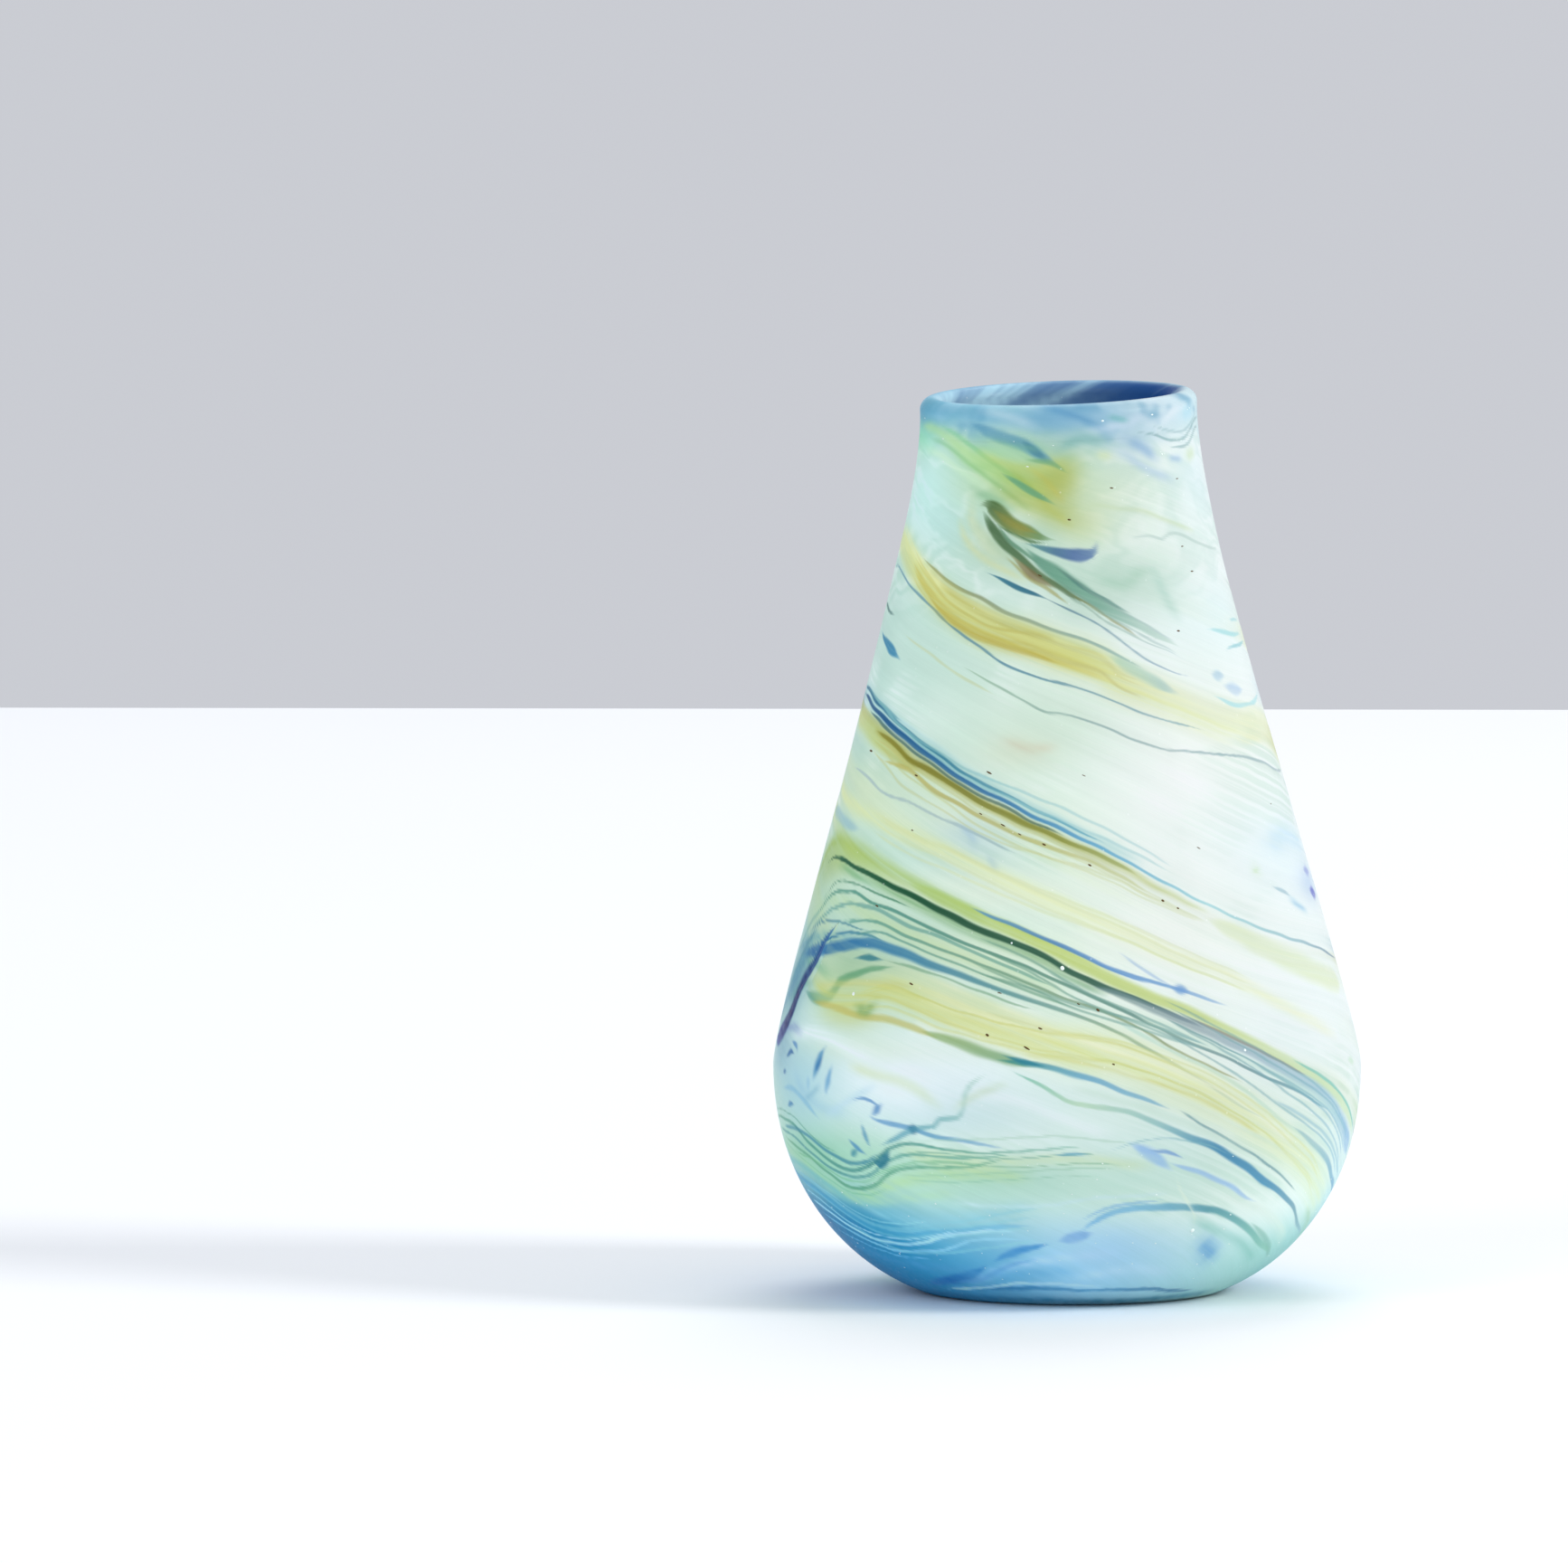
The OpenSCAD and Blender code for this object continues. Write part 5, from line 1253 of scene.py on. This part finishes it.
# Brown specks: angle, height, radius, stretch, turn
SPECKS = [
    (-64.4, 120.5, 0.55, 2.0, -8), (-41.9, 116.1, 0.4, 1.8, -15), (-19.7, 117.3, 0.45, 2.2, -25),
    (-21, 108.5, 0.3, 2, -25), (-15, 106.2, 0.35, 2.4, -25), (-10.7, 104.3, 0.3, 2, -25),
    (-4.7, 102.2, 0.4, 1.6, -25), (6.1, 97.8, 0.4, 1.5, -25), (22.9, 90, 0.45, 1.2, -25),
    (26.4, 88.3, 0.35, 1.2, -25), (-7.1, 160.8, 0.5, 2.0, -25), (3.7, 173.9, 0.4, 1.4, -10),
    (20.9, 180.9, 0.35, 1.6, -10), (53.4, 181.7, 0.3, 2.2, 0), (49.5, 166.4, 0.3, 2, 0),
    (52.3, 160.6, 0.35, 2, 0), (40.5, 147.5, 0.4, 1.5, -5), (5.5, 116.9, 0.25, 2.4, -25),
    (34.4, 100.9, 0.3, 2.4, -25), (66.4, 109, 0.25, 1.6, 0), (-33.7, 71.8, 0.45, 1.8, -20),
    (-5.1, 63.2, 0.4, 1.8, -20), (-15.7, 61.6, 0.5, 1.2, -30), (-7.7, 59, 0.5, 2.2, -30),
    (6.5, 67.1, 0.5, 1.2, -40), (9.1, 55.6, 0.35, 1.3, -20), (-40, 104.4, 0.3, 1.6, -15),
    (-13.6, 70.6, 0.3, 2.4, -15), (-47, 87.8, 0.4, 2.0, -15), (2.6, 68.4, 0.3, 1.6, -25),
    (150, 96, 0.4, 1.8, -20), (171, 131, 0.35, 1.6, -20), (-160, 70, 0.45, 1.8, -20),
    (-131, 112, 0.4, 2.0, -20), (118, 64, 0.4, 1.6, -20), (-155, 148, 0.35, 1.8, -20),
]
SPECK_SIZE, SPECK_STRETCH = 0.62, 1.15

# Larger white seeds, written in the same way
SEEDS = [
    (-0.6, 76, 0.45, 1.1, -60), (-11.5, 81.2, 0.22, 1, 0), (18.5, 196.2, 0.24, 1.4, 0),
    (42.2, 196.6, 0.2, 1.6, 0), (46.2, 187.6, 0.2, 1.3, 0), (-49, 68.8, 0.42, 1.0, 0),
    (37.4, 57.6, 0.3, 1, 0), (28.6, 18.2, 0.45, 1, 0),
]


def add_specks():
    spots = [(phi, z, SPECK_SIZE * size, SPECK_STRETCH * stretch, turn)
             for phi, z, size, stretch, turn in SPECKS]
    grains("brown_grains", spots, (0.11, 0.06, 0.02), "amber_glass", 0.35)


def add_seeds():
    """The larger seeds, and a scatter of small ones low on the body and at the lip."""
    rng = np.random.RandomState(11)
    spots = list(SEEDS)
    for _ in range(150):
        spots.append((rng.uniform(-180, 180), rng.triangular(4, 12, 44),
                      rng.uniform(0.07, 0.17), 1.0 + rng.uniform(0, 0.8), -15.0))
    for _ in range(40):
        spots.append((rng.uniform(-180, 180), rng.uniform(180, 198),
                      rng.uniform(0.07, 0.16), 1.0 + rng.uniform(0, 1.2), -5.0))
    grains("seed_bubbles", spots, (0.86, 0.93, 0.90), "gather_glass", 0.4)


add_ribbons()
spin("inner_gather", gather_profile(), "gather_glass", gather_colour, 1.2)
spin("foot_pad", foot_profile(), "foot_glass", foot_colour, 1.5)
spin("pontil_patch", pontil_profile(), "foot_glass", pontil_colour, 6)
trail("hook_swirl", HOOK_COURSE, [0.8, 1.6, 1.8, 2.0, 1.6, 1.6, 1.4, 0.8], 0.12, "hook_glass")
trail("cobalt_drip", DRIP_COURSE, [2.2, 2.4, 2.2, 1.8, 1.6, 1.2, 0.8], 0.16, "drip_glass")
add_specks()
add_seeds()


# ---------------------------------------------------------------- floor, lamps, camera
def add_floor():
    """A pale floor as a grid of plain cells."""
    mat = bpy.data.materials.new("pale_floor")
    mat.use_nodes = True
    tree = mat.node_tree
    noise = node_adder(tree)("TexNoise", {"Scale": 6.0})
    tones = node_adder(tree)("ValToRGB", {"Fac": noise.outputs["Fac"]})
    tones.color_ramp.elements[0].color = (0.88, 0.90, 0.92, 1)
    tones.color_ramp.elements[1].color = (0.92, 0.93, 0.94, 1)
    shader = tree.nodes["Principled BSDF"]
    shader.inputs["Roughness"].default_value = 0.75
    shader.inputs["Specular IOR Level"].default_value = 0.25
    tree.links.new(tones.outputs["Color"], shader.inputs["Base Color"])

    wide, deep = 15, 11
    places = [(x, y, 0.0) for y in np.linspace(-7, 2.2, deep) for x in np.linspace(-7, 7, wide)]
    grid = np.arange(wide * deep).reshape(deep, wide)
    corners = (grid[:-1, :-1], grid[:-1, 1:], grid[1:, 1:], grid[1:, :-1])
    mesh = bpy.data.meshes.new("pale_floor")
    mesh.from_pydata(places, [], np.stack(corners, -1).reshape(-1, 4).tolist())
    floor = bpy.data.objects.new("pale_floor", mesh)
    floor.data.materials.append(mat)
    bpy.context.collection.objects.link(floor)


def add_sky():
    world = bpy.data.worlds.new("studio")
    world.use_nodes = True
    sky = world.node_tree.nodes["Background"]
    sky.inputs["Color"].default_value = (0.80, 0.82, 0.88, 1)
    sky.inputs["Strength"].default_value = 0.74
    bpy.context.scene.world = world


def add_lamp(name, place, target, size, watts, colour):
    """A round area lamp at one place, turned to face another."""
    data = bpy.data.lights.new(name, "AREA")
    data.shape = "DISK"
    data.size = size
    data.energy = watts
    data.color = colour
    lamp = bpy.data.objects.new(name, data)
    lamp.location = place
    aim = np.array(target) - np.array(place)
    aim = aim / np.linalg.norm(aim)
    lamp.rotation_euler = (math.acos(-aim[2]), 0, -math.atan2(aim[0], aim[1]))
    bpy.context.collection.objects.link(lamp)


def add_camera(place, tilt_down, turn_left, lens):
    data = bpy.data.cameras.new("camera")
    data.lens = lens
    data.sensor_width = 36
    data.clip_start = 0.05
    data.clip_end = 60
    camera = bpy.data.objects.new("camera", data)
    camera.location = place
    camera.rotation_euler = (math.radians(90 - tilt_down), 0, math.radians(turn_left))
    bpy.context.collection.objects.link(camera)
    bpy.context.scene.camera = camera


add_floor()
add_sky()
add_lamp("key", (2.6, -0.9, 1.7), (0, 0, 0.1), 1.0, 52, (1.0, 0.985, 0.96))
add_lamp("top", (0.3, 2.4, 3.4), (0, 1.2, 0), 2.4, 48, (1.0, 1.0, 1.0))
add_lamp("fill", (-2.2, -2.6, 2.2), (0, 0, 0.1), 2.0, 32, (0.94, 0.97, 1.0))
add_camera((0, -2.6, 0.2804), 3.695, 1.393, 271.1)

view = bpy.context.scene.view_settings
view.view_transform = "Standard"
view.look = "None"
view.exposure = 0.0
